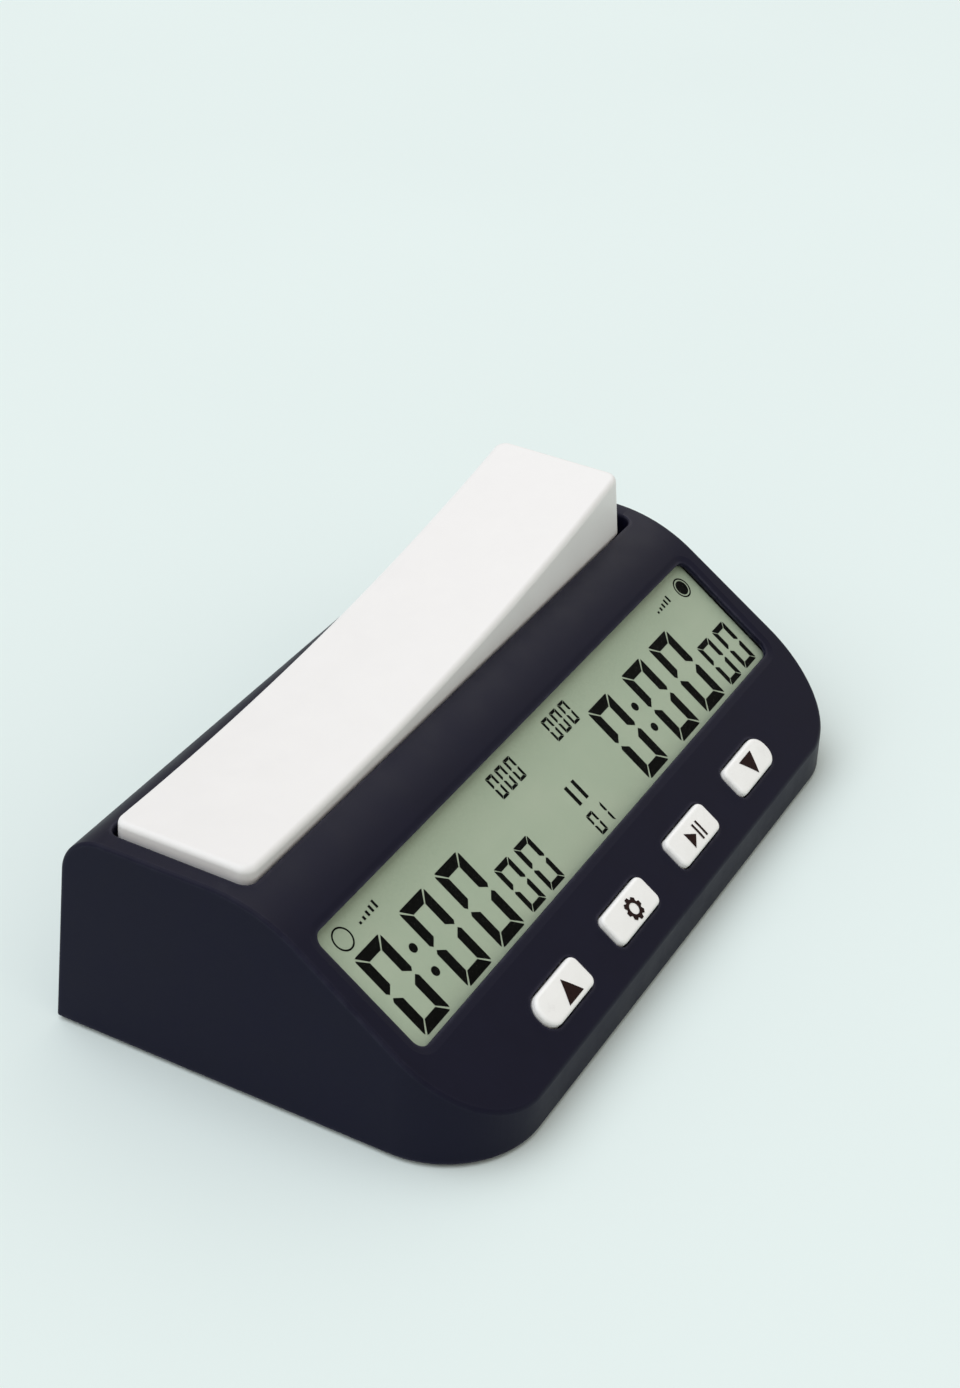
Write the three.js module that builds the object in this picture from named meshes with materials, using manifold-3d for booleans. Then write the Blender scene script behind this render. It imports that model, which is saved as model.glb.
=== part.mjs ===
// A digital chess clock: a wedge-shaped case with a wide display on its sloped front, four small
// buttons below the display, and one long rocker on top that each player presses at their own end.
// Millimetres. +X runs along the case to the right-hand player, +Y to the back, +Z up.
// The origin is on the table, under the middle of the case.

import * as THREE from 'three';
import { mergeVertices } from 'three/addons/utils/BufferGeometryUtils.js';
import Module from 'manifold-3d';

const wasm = await Module();
wasm.setup();

// Case
const CASE_LENGTH = 155;
const CASE_DEPTH = 85;
const CASE_BOTTOM = 0.8;
const CASE_TOP = 39.8;
const WALL = 2.2;
const GAP = 0.3;
const LIP_HEIGHT = 8.2;
const LIP_RADIUS = 1.2;
const SLOPE_DEGREES = 35.1;
const SHOULDER_RADIUS = 30;
const BACK_TOP_RADIUS = 8;
const FRONT_CORNER_RADIUS = 18.4;
const END_LEAN_DEGREES = 2.8;
const BACK_LEAN_DEGREES = 2.7;

// Display window and the layers behind it, as depths below the sloped face
const WINDOW_LENGTH = 142.4;
const WINDOW_BOTTOM = 19.6;
const WINDOW_TOP = 45.1;
const WINDOW_RADIUS = 2.3;
const CHAMFER_WIDTH = 1.6;
const CHAMFER_DEPTH = 0.5;
const LENS_GAP = 0.1;
const LENS_DEPTH = 1.3;
const LENS_THICKNESS = 0.5;
const GLASS_DEPTH = 1.95;
const GLASS_THICKNESS = 1.7;
const BOARD_DEPTH = 6.4;
const BOARD_THICKNESS = 1.6;

// Buttons on the sloped face
const BUTTON_WIDTH = 15.8;
const BUTTON_HEIGHT = 6.5;
const BUTTON_MIDDLE = 8.1;
const BUTTON_PITCH = 26.5;
const BUTTON_PROUD = 1.0;
const BUTTON_CORNER = 1.5;
const BUTTON_ROUND_END = 3.0;
const BUTTON_BASE_DEPTH = 3.7;
const FLANGE_DEPTH = 2.6;
const FLANGE_LIP = 0.8;

// Rocker and its well
const WELL_HALF_LENGTH = 71.7;
const WELL_FRONT = 6.5;
const WELL_BACK = 34.3;
const WELL_FLOOR = 26.1;
const WELL_CORNER = 2.4;
const TUB_WALL = 1.8;
const TUB_HALF_LENGTH = 75;
const TUB_FLOOR = 1.6;
const PIVOT_HEIGHT = 11;
const ROCKER_TILT_DEGREES = 4.85;
const ROCKER_END_DRAFT_DEGREES = 7.5;
const ROCKER_RIM_HALF_LENGTH = 68.8;
const ROCKER_TOP_MIDDLE = 43.7;
const ROCKER_TOP_RADIUS = 611;
const ROCKER_SKIRT_BOTTOM = 32.9;
const ROCKER_WALL = 2.2;
const ROCKER_CORNER = 2.6;
const ROCKER_RIBS = [-50, -33, 33, 50];
const ROCKER_RIB_HALF = 0.9;
const WELL_PLAY = 0.35;
const PIN_RADIUS = 1.5;
const LEG_RADIUS = 4;
const LEG_HALF_DEPTH = 7;
const EAR_GAP = 0.4;
const EAR_DEPTH = 3.5;
const EAR_TOP = 15.5;
const STOP_PAD = { inner: 67.2, outer: 71.3, halfDepth: 6, low: 0.05, high: 0.5 };

// Switches under the rocker
const SWITCH_OFFSET = 16;
const PUSHER_BOTTOM = 28.6;
const PLUNGER_RADIUS = 1.3;
const PLUNGER_LENGTH = 6.6;
const SWITCH_BODY_SIZE = 9;
const SWITCH_BODY_HEIGHT = 4.5;
const PUSHER_RADIUS = 2.5;

// Batteries, door and feet
const BATTERY_RADIUS = 7.1;
const BATTERY_BODY_LENGTH = 48.6;
const BATTERY_NUB_RADIUS = 2.7;
const BATTERY_NUB_LENGTH = 1.2;
const BATTERY_HEIGHT = 10.4;
const BATTERY_FRONT_Y = 8.7;
const BATTERY_REAR_Y = 24.9;
const BAY_LEFT = -64.6;
const BAY_RIGHT = -10.6;
const BAY_FRONT = 0.9;
const BAY_BACK = 32.7;
const BAY_TOP = 17.9;
const BAY_WALL = 1.5;
const DOOR_THICKNESS = 1.6;
const DOOR_MARGIN = 1.6;
const DOOR_TRAVEL = 6;
const PLATE_TOP = 3.0;
const PAD_TOP = 4.2;
const PAD_RADIUS = 3.9;
const FOOT_RADIUS = 3.7;
const FOOT_HEIGHT = 1.8;
const POWER_SWITCH_X = 30;
const SOUND_SLOTS = { first: 34, pitch: 3.2, count: 5, halfWidth: 0.7, front: -26, back: -17 };
const DOOR_RIDGES = { first: 2.5, pitch: 1.6, count: 4, left: -44, right: -30 };

// Screws
const CASE_SCREW = { head: 2.4, headHeight: 1.3, shank: 1.2, length: 7.5 };
const BOARD_SCREW = { head: 1.7, headHeight: 1.0, shank: 0.8, length: 3.4 };
const CASE_POST = { radius: 3, frontTop: 16 };
const BOARD_POST_RADIUS = 1.9;
const CASE_SCREW_PLACES = [[-62, -33.5], [62, -33.5], [-70.3, 26], [70.3, 26]];
const BOARD_SCREW_PLACES = [[-50, 14.6], [50, 14.6], [-60, 49], [60, 49]];
const FOOT_PLACES = [[-66, -27], [66, -27], [-70.8, 34.5], [70.8, 34.5]];

const SLOPE = THREE.MathUtils.degToRad(SLOPE_DEGREES);
const TILT = THREE.MathUtils.degToRad(ROCKER_TILT_DEGREES);
const FRONT = -CASE_DEPTH / 2;
const BACK = CASE_DEPTH / 2;
const END_LEAN = Math.tan(THREE.MathUtils.degToRad(END_LEAN_DEGREES));
const BACK_LEAN = Math.tan(THREE.MathUtils.degToRad(BACK_LEAN_DEGREES));
const ROCKER_Y = (WELL_FRONT + WELL_BACK) / 2;
const SLOPE_PLACE = new THREE.Matrix4().makeRotationX(SLOPE).setPosition(0, FRONT, LIP_HEIGHT);

// ---------------------------------------------------------------- outlines

/** Points of a closed outline from its corners [u, v, radius], in anticlockwise order. */
function roundedOutline(corners, arcStep = 15) {
  return corners.flatMap(([u, v, radius = 0], index) => {
    const corner = new THREE.Vector2(u, v);
    if (radius === 0) return [corner];
    const before = corners.at(index - 1);
    const after = corners[(index + 1) % corners.length];
    const toBefore = new THREE.Vector2(before[0] - u, before[1] - v).normalize();
    const toAfter = new THREE.Vector2(after[0] - u, after[1] - v).normalize();
    const halfAngle = Math.acos(THREE.MathUtils.clamp(toBefore.dot(toAfter), -1, 1)) / 2;
    const inward = toBefore.clone().add(toAfter).normalize();
    const centre = corner.clone().addScaledVector(inward, radius / Math.sin(halfAngle));
    const start = corner.clone().addScaledVector(toBefore, radius / Math.tan(halfAngle));
    const turn = Math.PI - 2 * halfAngle;
    const side = Math.sign(toAfter.cross(toBefore));
    const steps = Math.max(2, Math.ceil(THREE.MathUtils.radToDeg(turn) / arcStep));
    return Array.from({ length: steps + 1 }, (_, step) =>
      start.clone().rotateAround(centre, side * turn * step / steps));
  });
}

/** The same corners moved inwards by a distance, with their radii reduced to match. */
function insetCorners(corners, distance) {
  return corners.map(([u, v, radius = 0], index) => {
    const before = corners.at(index - 1);
    const after = corners[(index + 1) % corners.length];
    const arriving = new THREE.Vector2(u - before[0], v - before[1]).normalize();
    const leaving = new THREE.Vector2(after[0] - u, after[1] - v).normalize();
    const shift = leaving.clone().sub(arriving).multiplyScalar(distance / arriving.cross(leaving));
    return [u + shift.x, v + shift.y, radius === 0 ? 0 : Math.max(radius - distance, 0.4)];
  });
}

function rectangle(left, right, low, high, radius = 0) {
  return [[left, low, radius], [right, low, radius], [right, high, radius], [left, high, radius]];
}

/** The case seen from its right-hand end: y to the right, z up. */
function sideCorners(bottom) {
  const slopeTop = FRONT + (CASE_TOP - LIP_HEIGHT) / Math.tan(SLOPE);
  return [
    [FRONT, bottom],
    [BACK - bottom * BACK_LEAN, bottom],
    [BACK - CASE_TOP * BACK_LEAN, CASE_TOP, BACK_TOP_RADIUS],
    [slopeTop, CASE_TOP, SHOULDER_RADIUS],
    [FRONT, LIP_HEIGHT, LIP_RADIUS],
  ];
}

/** The case seen from above. */
function planCorners() {
  const half = CASE_LENGTH / 2;
  return [
    [-half, FRONT, FRONT_CORNER_RADIUS],
    [half, FRONT, FRONT_CORNER_RADIUS],
    [half, BACK + 0.5],
    [-half, BACK + 0.5],
  ];
}

// ---------------------------------------------------------------- shapes

function prismZ(corners, low, high, arcStep) {
  const shape = new THREE.Shape(roundedOutline(corners, arcStep));
  const depth = high - low;
  return new THREE.ExtrudeGeometry(shape, { depth, bevelEnabled: false }).translate(0, 0, low);
}

/** A prism along X whose corners are given as [y, z]. */
function prismX(corners, low, high, arcStep) {
  const y = new THREE.Vector3(0, 1, 0);
  const z = new THREE.Vector3(0, 0, 1);
  const turn = new THREE.Matrix4().makeBasis(y, z, new THREE.Vector3(1, 0, 0));
  return prismZ(corners, low, high, arcStep).applyMatrix4(turn);
}

/** A prism along Y whose corners are given as [x, z]. */
function prismY(corners, low, high, arcStep) {
  return prismZ(corners, -high, -low, arcStep).rotateX(Math.PI / 2);
}

function box(left, right, front, back, low, high) {
  return prismZ(rectangle(left, right, front, back), low, high);
}

function disc(x, y, low, high, radius, sides = 16) {
  const height = high - low;
  const geometry = new THREE.CylinderGeometry(radius, radius, height, sides);
  return geometry.rotateX(Math.PI / 2).translate(x, y, low + height / 2);
}

/** A turned piece about Z from its profile of [radius, height] pairs, from the axis to the axis. */
function turned(profile, sides = 16) {
  const points = profile.map(([radius, height]) => new THREE.Vector2(radius, height));
  return new THREE.LatheGeometry(points, sides).rotateX(Math.PI / 2);
}

/** A round wire through the given points. */
function wire(points, radius, steps, sides = 6, tension = 0.5) {
  const path = new THREE.CatmullRomCurve3(points, false, 'catmullrom', tension);
  const section = new THREE.Shape(Array.from({ length: sides }, (_, side) => {
    const angle = side / sides * 2 * Math.PI;
    return new THREE.Vector2(radius * Math.cos(angle), radius * Math.sin(angle));
  }));
  return new THREE.ExtrudeGeometry(section, { steps, extrudePath: path, bevelEnabled: false });
}

/** Narrows the case's outlines towards the top, as its end walls lean in. */
function leanEnds(geometry) {
  const position = geometry.attributes.position;
  for (let i = 0; i < position.count; i += 1) {
    const scale = 1 - position.getZ(i) * END_LEAN / (CASE_LENGTH / 2);
    position.setX(i, position.getX(i) * scale);
  }
  return geometry;
}

function onSlope(geometry) {
  return geometry.applyMatrix4(SLOPE_PLACE);
}

// ---------------------------------------------------------------- joining and cutting

function solid(geometry) {
  const bare = new THREE.BufferGeometry();
  bare.setAttribute('position', geometry.attributes.position.clone());
  if (geometry.index) bare.setIndex(geometry.index.clone());
  const merged = mergeVertices(bare, 1e-4);
  return new wasm.Manifold(new wasm.Mesh({
    numProp: 3,
    vertProperties: new Float32Array(merged.attributes.position.array),
    triVerts: new Uint32Array(merged.index.array),
  }));
}

function join(body, geometries) {
  return geometries.reduce((whole, geometry) => whole.add(solid(geometry)), body);
}

function cut(body, geometries) {
  return geometries.reduce((whole, geometry) => whole.subtract(solid(geometry)), body);
}

function surfaceOf(body) {
  const result = body.getMesh();
  const geometry = new THREE.BufferGeometry();
  geometry.setAttribute('position', new THREE.BufferAttribute(result.vertProperties.slice(), 3));
  geometry.setIndex(new THREE.BufferAttribute(result.triVerts.slice(), 1));
  geometry.computeVertexNormals();
  return geometry;
}

function material(color, roughness, metalness = 0) {
  return new THREE.MeshStandardMaterial({ color, roughness, metalness });
}

function part(name, shape, finish) {
  const geometry = shape instanceof THREE.BufferGeometry ? shape : surfaceOf(shape);
  const mesh = new THREE.Mesh(geometry, finish);
  mesh.name = name;
  return mesh;
}

const darkPlastic = () => material(0x282830, 0.55);
const whitePlastic = () => material(0xf0f0ee, 0.4);
const blackPlastic = () => material(0x151517, 0.6);
const rubber = () => material(0x1c1c1c, 0.9);
const steel = () => material(0xb8b9bb, 0.35, 1);
const tinned = () => material(0xc9c6bd, 0.4, 1);

// ---------------------------------------------------------------- case

function outerCase() {
  const side = solid(prismX(sideCorners(CASE_BOTTOM), -CASE_LENGTH, CASE_LENGTH, 6));
  const plan = solid(leanEnds(prismZ(planCorners(), CASE_BOTTOM, CASE_TOP + 5, 10)));
  return side.intersect(plan);
}

function caseCavity() {
  const openBottom = -2 * WALL;
  const side = insetCorners(sideCorners(openBottom), WALL);
  const plan = insetCorners(planCorners(), WALL);
  const room = solid(prismX(side, -CASE_LENGTH, CASE_LENGTH, 12));
  return room.intersect(solid(leanEnds(prismZ(plan, -WALL, CASE_TOP + 5, 18))));
}

function buttonCorners(kind, margin) {
  const half = BUTTON_WIDTH / 2 + margin;
  const low = BUTTON_MIDDLE - BUTTON_HEIGHT / 2 - margin;
  const high = BUTTON_MIDDLE + BUTTON_HEIGHT / 2 + margin;
  const left = (kind === 'left end' ? BUTTON_ROUND_END : BUTTON_CORNER) + margin;
  const right = (kind === 'right end' ? BUTTON_ROUND_END : BUTTON_CORNER) + margin;
  return [[-half, low, left], [half, low, right], [half, high, right], [-half, high, left]];
}

const BUTTONS = [
  { name: 'up_button', x: -1.5 * BUTTON_PITCH, kind: 'left end' },
  { name: 'settings_button', x: -0.5 * BUTTON_PITCH, kind: 'middle' },
  { name: 'play_pause_button', x: 0.5 * BUTTON_PITCH, kind: 'middle' },
  { name: 'down_button', x: 1.5 * BUTTON_PITCH, kind: 'right end' },
];

function windowCorners(margin) {
  const half = WINDOW_LENGTH / 2 + margin;
  const radius = Math.max(WINDOW_RADIUS + margin, 0.5);
  return rectangle(-half, half, WINDOW_BOTTOM - margin, WINDOW_TOP + margin, radius);
}

/** The clear pane, which reaches behind the window's edges. */
function lensCorners(margin) {
  const half = WINDOW_LENGTH / 2 + 1.8 + margin;
  return rectangle(-half, half, WINDOW_BOTTOM - 2 - margin, WINDOW_TOP + 1.9 + margin, 0.5);
}

/** The window's opening widens towards the outside by a chamfer all round. */
function windowOpening() {
  const geometry = prismZ(windowCorners(0), -CHAMFER_DEPTH, 0, 30);
  const position = geometry.attributes.position;
  const middle = (WINDOW_BOTTOM + WINDOW_TOP) / 2;
  const halfHeight = (WINDOW_TOP - WINDOW_BOTTOM) / 2;
  for (let i = 0; i < position.count; i += 1) {
    if (position.getZ(i) < -CHAMFER_DEPTH / 2) continue;
    position.setX(i, position.getX(i) * (1 + CHAMFER_WIDTH / (WINDOW_LENGTH / 2)));
    const across = position.getY(i) - middle;
    position.setY(i, middle + across * (1 + CHAMFER_WIDTH / halfHeight));
    position.setZ(i, 0.01);
  }
  return onSlope(geometry);
}

function upperCase() {
  const outer = outerCase();
  const wellOutline = rectangle(-WELL_HALF_LENGTH, WELL_HALF_LENGTH, WELL_FRONT, WELL_BACK, WELL_CORNER);
  const [tubFront, tubBack] = [WELL_FRONT - TUB_WALL, WELL_BACK + TUB_WALL];
  const tub = rectangle(-TUB_HALF_LENGTH, TUB_HALF_LENGTH, tubFront, tubBack);
  const postTop = (y) => (y > 0 ? WELL_FLOOR - 1 : CASE_POST.frontTop);
  const supports = [
    prismZ(tub, WELL_FLOOR - TUB_FLOOR, CASE_TOP + 1),
    ...CASE_SCREW_PLACES.map(([x, y]) => disc(x, y, PAD_TOP + GAP, postTop(y), CASE_POST.radius, 12)),
    ...BOARD_SCREW_PLACES.map(([x, s]) =>
      onSlope(disc(x, s, GAP - BOARD_DEPTH, GAP - 1.5, BOARD_POST_RADIUS, 10))),
  ];
  const solidSupports = supports.map((geometry) => solid(geometry).intersect(outer));
  const walls = solidSupports.reduce((whole, piece) => whole.add(piece), outer.subtract(caseCavity()));
  const lensPocket = lensCorners(GAP);
  const legSlot = rectangle(-8, 8, ROCKER_Y - LEG_HALF_DEPTH - 1.5, ROCKER_Y + LEG_HALF_DEPTH + 1.5);
  return cut(walls, [
    prismZ(wellOutline, WELL_FLOOR, CASE_TOP + 9),
    prismZ(legSlot, WELL_FLOOR - 4, WELL_FLOOR + 1),
    ...[-SWITCH_OFFSET, SWITCH_OFFSET].map((x) =>
      disc(x, ROCKER_Y, WELL_FLOOR - 4, WELL_FLOOR + 1, PLUNGER_RADIUS + GAP, 10)),
    ...CASE_SCREW_PLACES.map(([x, y]) => disc(x, y, PAD_TOP - 1, 10.8, CASE_SCREW.shank + GAP, 10)),
    ...BOARD_SCREW_PLACES.map(([x, s]) =>
      onSlope(disc(x, s, -BOARD_DEPTH - 1, -3.6, BOARD_SCREW.shank + GAP, 8))),
    onSlope(prismZ(windowCorners(0), -5, 3, 30)),
    windowOpening(),
    onSlope(prismZ(lensPocket, -GLASS_DEPTH - 2, -LENS_DEPTH + LENS_GAP)),
    ...BUTTONS.map(({ x, kind }) =>
      onSlope(prismZ(buttonCorners(kind, GAP), -4, 3, 22).translate(x, 0, 0))),
  ]);
}

// ---------------------------------------------------------------- bottom

function pivotEar(front, back) {
  const corners = [[-5, PLATE_TOP - 1], [5, PLATE_TOP - 1], [5, EAR_TOP, 3.5], [-5, EAR_TOP, 3.5]];
  return prismY(corners, front, back, 30);
}

function doorCorners(frontExtra, margin) {
  return rectangle(
    BAY_LEFT - DOOR_MARGIN - margin,
    BAY_RIGHT + DOOR_MARGIN + margin,
    BAY_FRONT - DOOR_MARGIN - margin - frontExtra,
    BAY_BACK + DOOR_MARGIN + margin,
  );
}

const DOOR_TABS = [-54, -37, -20];

function doorTab(x, margin) {
  const back = BAY_BACK + DOOR_MARGIN;
  const low = CASE_BOTTOM + 0.7;
  return box(x - 3 - margin, x + 3 + margin, back - 1, back + 2 + margin, low - margin, low + 0.8 + margin);
}

function lowerCase() {
  const plate = solid(prismZ(insetCorners(planCorners(), WALL + 0.45), CASE_BOTTOM, PLATE_TOP, 15));
  const edge = solid(box(-80, 80, -60, BACK - WALL - 0.45, 0, 60));
  const earNear = LEG_HALF_DEPTH + EAR_GAP;
  const earFar = earNear + EAR_DEPTH;
  const raised = join(plate.intersect(edge), [
    box(BAY_LEFT - 5, BAY_RIGHT + 4.6, -9.5, 38.5, PLATE_TOP - 1, PAD_TOP),
    box(BAY_LEFT - BAY_WALL, BAY_RIGHT + BAY_WALL, BAY_FRONT - BAY_WALL, BAY_BACK + BAY_WALL,
      PAD_TOP - 1, BAY_TOP + BAY_WALL),
    pivotEar(ROCKER_Y - earFar, ROCKER_Y - earNear),
    pivotEar(ROCKER_Y + earNear, ROCKER_Y + earFar),
    ...CASE_SCREW_PLACES.map(([x, y]) => disc(x, y, PLATE_TOP - 1, PAD_TOP, PAD_RADIUS, 16)),
  ]);
  const { first, pitch, count, halfWidth, front, back } = SOUND_SLOTS;
  const soundSlots = Array.from({ length: count }, (_, index) => first + index * pitch);
  return cut(raised, [
    box(BAY_LEFT, BAY_RIGHT, BAY_FRONT, BAY_BACK, 0, BAY_TOP),
    prismZ(doorCorners(DOOR_TRAVEL, GAP), 0, CASE_BOTTOM + DOOR_THICKNESS + GAP),
    ...DOOR_TABS.map((x) => doorTab(x, GAP)),
    prismY(roundHole(PIN_RADIUS + GAP), ROCKER_Y - 12, ROCKER_Y + 12),
    ...CASE_SCREW_PLACES.map(([x, y]) => disc(x, y, 0, CASE_BOTTOM + 1.9, CASE_SCREW.head + 0.5)),
    ...CASE_SCREW_PLACES.map(([x, y]) => disc(x, y, 1, PAD_TOP + 1, CASE_SCREW.shank + GAP, 10)),
    ...FOOT_PLACES.map(([x, y]) => disc(x, y, 0, FOOT_HEIGHT + GAP, FOOT_RADIUS + GAP, 20)),
    ...soundSlots.map((x) => box(x - halfWidth, x + halfWidth, front, back, 0, PLATE_TOP + 1)),
    box(POWER_SWITCH_X - 5.5, POWER_SWITCH_X + 5.5, -2.6, 2.6, 0, CASE_BOTTOM + 1),
    box(POWER_SWITCH_X - 3.8, POWER_SWITCH_X + 3.8, -1.4, 1.4, 0, PLATE_TOP + 1),
  ]);
}

/** A round hole about the pivot's axis, as corners in x and z. */
function roundHole(radius) {
  return Array.from({ length: 12 }, (_, index) => {
    const angle = index / 12 * 2 * Math.PI;
    return [radius * Math.cos(angle), PIVOT_HEIGHT + radius * Math.sin(angle)];
  });
}

function batteryDoor() {
  const top = CASE_BOTTOM + DOOR_THICKNESS;
  const panel = solid(prismZ(doorCorners(0, 0), CASE_BOTTOM, top));
  const tabbed = join(panel, DOOR_TABS.map((x) => doorTab(x, 0)));
  const { first, pitch, count, left, right } = DOOR_RIDGES;
  const ridges = Array.from({ length: count }, (_, index) => first + index * pitch);
  return cut(tabbed, ridges.map((y) => box(left, right, y - 0.4, y + 0.4, 0, CASE_BOTTOM + 0.5)));
}

function battery() {
  return turned([
    [0, 0],
    [BATTERY_RADIUS - 0.6, 0],
    [BATTERY_RADIUS, 0.6],
    [BATTERY_RADIUS, BATTERY_BODY_LENGTH - 0.8],
    [BATTERY_RADIUS - 0.8, BATTERY_BODY_LENGTH],
    [BATTERY_NUB_RADIUS, BATTERY_BODY_LENGTH],
    [BATTERY_NUB_RADIUS, BATTERY_BODY_LENGTH + BATTERY_NUB_LENGTH],
    [0, BATTERY_BODY_LENGTH + BATTERY_NUB_LENGTH],
  ], 18);
}

/** A coil that widens towards the contact plate, wound about Z. */
function batterySpring() {
  const turns = 2.5;
  const length = 1.6;
  const points = Array.from({ length: 26 }, (_, index) => {
    const share = index / 25;
    const angle = share * turns * 2 * Math.PI;
    const radius = 4.6 - 2 * share;
    return new THREE.Vector3(radius * Math.cos(angle), radius * Math.sin(angle), share * length);
  });
  return wire(points, 0.22, 40, 5);
}

// ---------------------------------------------------------------- display and board

function mainBoard() {
  const outline = [
    [-54, 4.6], [54, 4.6], [54, 15.8], [70, 15.8], [70, 50.4], [-70, 50.4], [-70, 15.8], [-54, 15.8],
  ];
  const board = solid(prismZ(outline, -BOARD_DEPTH - BOARD_THICKNESS, -BOARD_DEPTH));
  return cut(board, BOARD_SCREW_PLACES.map(([x, s]) => disc(x, s, -9, -5, BOARD_SCREW.shank + GAP, 8)));
}

function displayFrame() {
  const low = GAP - BOARD_DEPTH;
  const high = -GLASS_DEPTH;
  const frame = solid(prismZ(rectangle(-73.1, 73.1, 17.5, 46.6), low, high));
  return cut(frame, [prismZ(rectangle(-72.2, 72.2, 18.4, 46.2), low - 1, high + 1)]);
}

function keypadMat() {
  const low = GAP - BOARD_DEPTH;
  const sheet = solid(prismZ(rectangle(-47.5, 47.5, 5.1, 11.9, 1), low, low + 0.6, 30));
  return join(sheet, BUTTONS.map(({ x }) => disc(x, BUTTON_MIDDLE, low + 0.3, low + 1.3, 2.2, 12)));
}

function buttonCap(kind) {
  const cap = solid(prismZ(buttonCorners(kind, 0), -BUTTON_BASE_DEPTH + 0.5, BUTTON_PROUD, 18));
  return join(cap, [
    prismZ(buttonCorners(kind, FLANGE_LIP), -BUTTON_BASE_DEPTH + 0.2, -FLANGE_DEPTH, 30),
    disc(0, BUTTON_MIDDLE, -BUTTON_BASE_DEPTH, -FLANGE_DEPTH, 1.6, 10),
  ]);
}

function screw({ head, headHeight, shank, length }) {
  return turned([
    [0, 0],
    [head * 0.6, 0],
    [head, headHeight * 0.45],
    [head, headHeight],
    [shank, headHeight],
    [shank, headHeight + length - 0.6],
    [0, headHeight + length],
  ], 12);
}

// ---------------------------------------------------------------- rocker

/** The rocker's side, as x and height above the pivot, with its hollow top and drafted ends. */
function rockerSide(inset) {
  const draft = Math.tan(THREE.MathUtils.degToRad(ROCKER_END_DRAFT_DEGREES));
  const rim = CASE_TOP - PIVOT_HEIGHT;
  const middle = ROCKER_TOP_MIDDLE - PIVOT_HEIGHT;
  const bottom = ROCKER_SKIRT_BOTTOM - PIVOT_HEIGHT;
  const halfAt = (height) => ROCKER_RIM_HALF_LENGTH - (height - rim) * draft - inset;
  const topAt = (x) => middle + ROCKER_TOP_RADIUS - Math.sqrt(ROCKER_TOP_RADIUS ** 2 - x ** 2) - inset;
  const topEnd = halfAt(topAt(ROCKER_RIM_HALF_LENGTH));
  const low = inset > 0 ? bottom - 5 : bottom;
  const steps = 14;
  const top = Array.from({ length: steps + 1 }, (_, index) => {
    const x = topEnd * (1 - 2 * index / steps);
    return [x, topAt(x)];
  });
  return [[-halfAt(low), low], [halfAt(low), low], ...top];
}

function rocker() {
  const front = WELL_FRONT + WELL_PLAY;
  const back = WELL_BACK - WELL_PLAY;
  const roundEnds = (margin) => {
    const half = ROCKER_RIM_HALF_LENGTH + 1 - margin;
    const radius = ROCKER_CORNER - margin / 2;
    return rectangle(-half, half, front + margin, back - margin, radius);
  };
  const block = solid(prismY(rockerSide(0), front, back));
  const outer = block.intersect(solid(prismZ(roundEnds(0), 0, 60, 18)));
  const hollow = solid(prismY(rockerSide(ROCKER_WALL), front + ROCKER_WALL, back - ROCKER_WALL));
  const shell = outer.subtract(hollow);
  const ceiling = ROCKER_TOP_MIDDLE - PIVOT_HEIGHT - 1;
  const leg = [[-LEG_RADIUS, -LEG_RADIUS, 3.2], [LEG_RADIUS, -LEG_RADIUS, 3.2], [LEG_RADIUS, ceiling],
    [-LEG_RADIUS, ceiling]];
  const ribBottom = ROCKER_SKIRT_BOTTOM - PIVOT_HEIGHT + 2;
  const ribs = ROCKER_RIBS.map((x) =>
    box(x - ROCKER_RIB_HALF, x + ROCKER_RIB_HALF, front + 1, back - 1, ribBottom, ceiling));
  const pushers = [-SWITCH_OFFSET, SWITCH_OFFSET].map((x) =>
    disc(x, ROCKER_Y, PUSHER_BOTTOM - PIVOT_HEIGHT, ceiling, PUSHER_RADIUS, 12));
  const legPrism = prismY(leg, ROCKER_Y - LEG_HALF_DEPTH, ROCKER_Y + LEG_HALF_DEPTH, 30);
  const whole = join(shell, [legPrism, ...ribs, ...pushers]);
  const bore = roundHole(PIN_RADIUS + GAP).map(([x, z]) => [x, z - PIVOT_HEIGHT]);
  return cut(whole, [prismY(bore, ROCKER_Y - 9, ROCKER_Y + 9)]);
}

// ---------------------------------------------------------------- assembly

const chessClock = new THREE.Group();

chessClock.add(part('upper_case', upperCase(), darkPlastic()));
chessClock.add(part('lower_case', lowerCase(), darkPlastic()));
chessClock.add(part('battery_door', batteryDoor(), darkPlastic()));

// What lies behind the sloped face: x along the case, y up the slope, z out of it.
const slope = new THREE.Group();
slope.position.set(0, FRONT, LIP_HEIGHT);
slope.rotation.x = SLOPE;
chessClock.add(slope);

const lens = prismZ(lensCorners(0), -LENS_DEPTH - LENS_THICKNESS, -LENS_DEPTH);
slope.add(part('display_window', lens, material(0xdfe6e2, 0.08)));
const glass = prismZ(rectangle(-71.9, 71.9, 18.7, 45.9), -GLASS_DEPTH - GLASS_THICKNESS, -GLASS_DEPTH);
slope.add(part('lcd_glass', glass, material(0xa0a994, 0.3)));
slope.add(part('lcd_frame', displayFrame(), blackPlastic()));
const stripTop = -GLASS_DEPTH - GLASS_THICKNESS - GAP;
for (const [name, low] of [['lower_zebra_strip', 19.2], ['upper_zebra_strip', 43.4]]) {
  const strip = prismZ(rectangle(-68, 68, low, low + 2), GAP - BOARD_DEPTH, stripTop);
  slope.add(part(name, strip, material(0xb58f86, 0.8)));
}
slope.add(part('main_board', mainBoard(), material(0x1f5b33, 0.5)));
slope.add(part('keypad_mat', keypadMat(), material(0x6d6f72, 0.85)));
for (const { name, x, kind } of BUTTONS) {
  const cap = part(name, buttonCap(kind), whitePlastic());
  cap.position.x = x;
  slope.add(cap);
}

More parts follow.
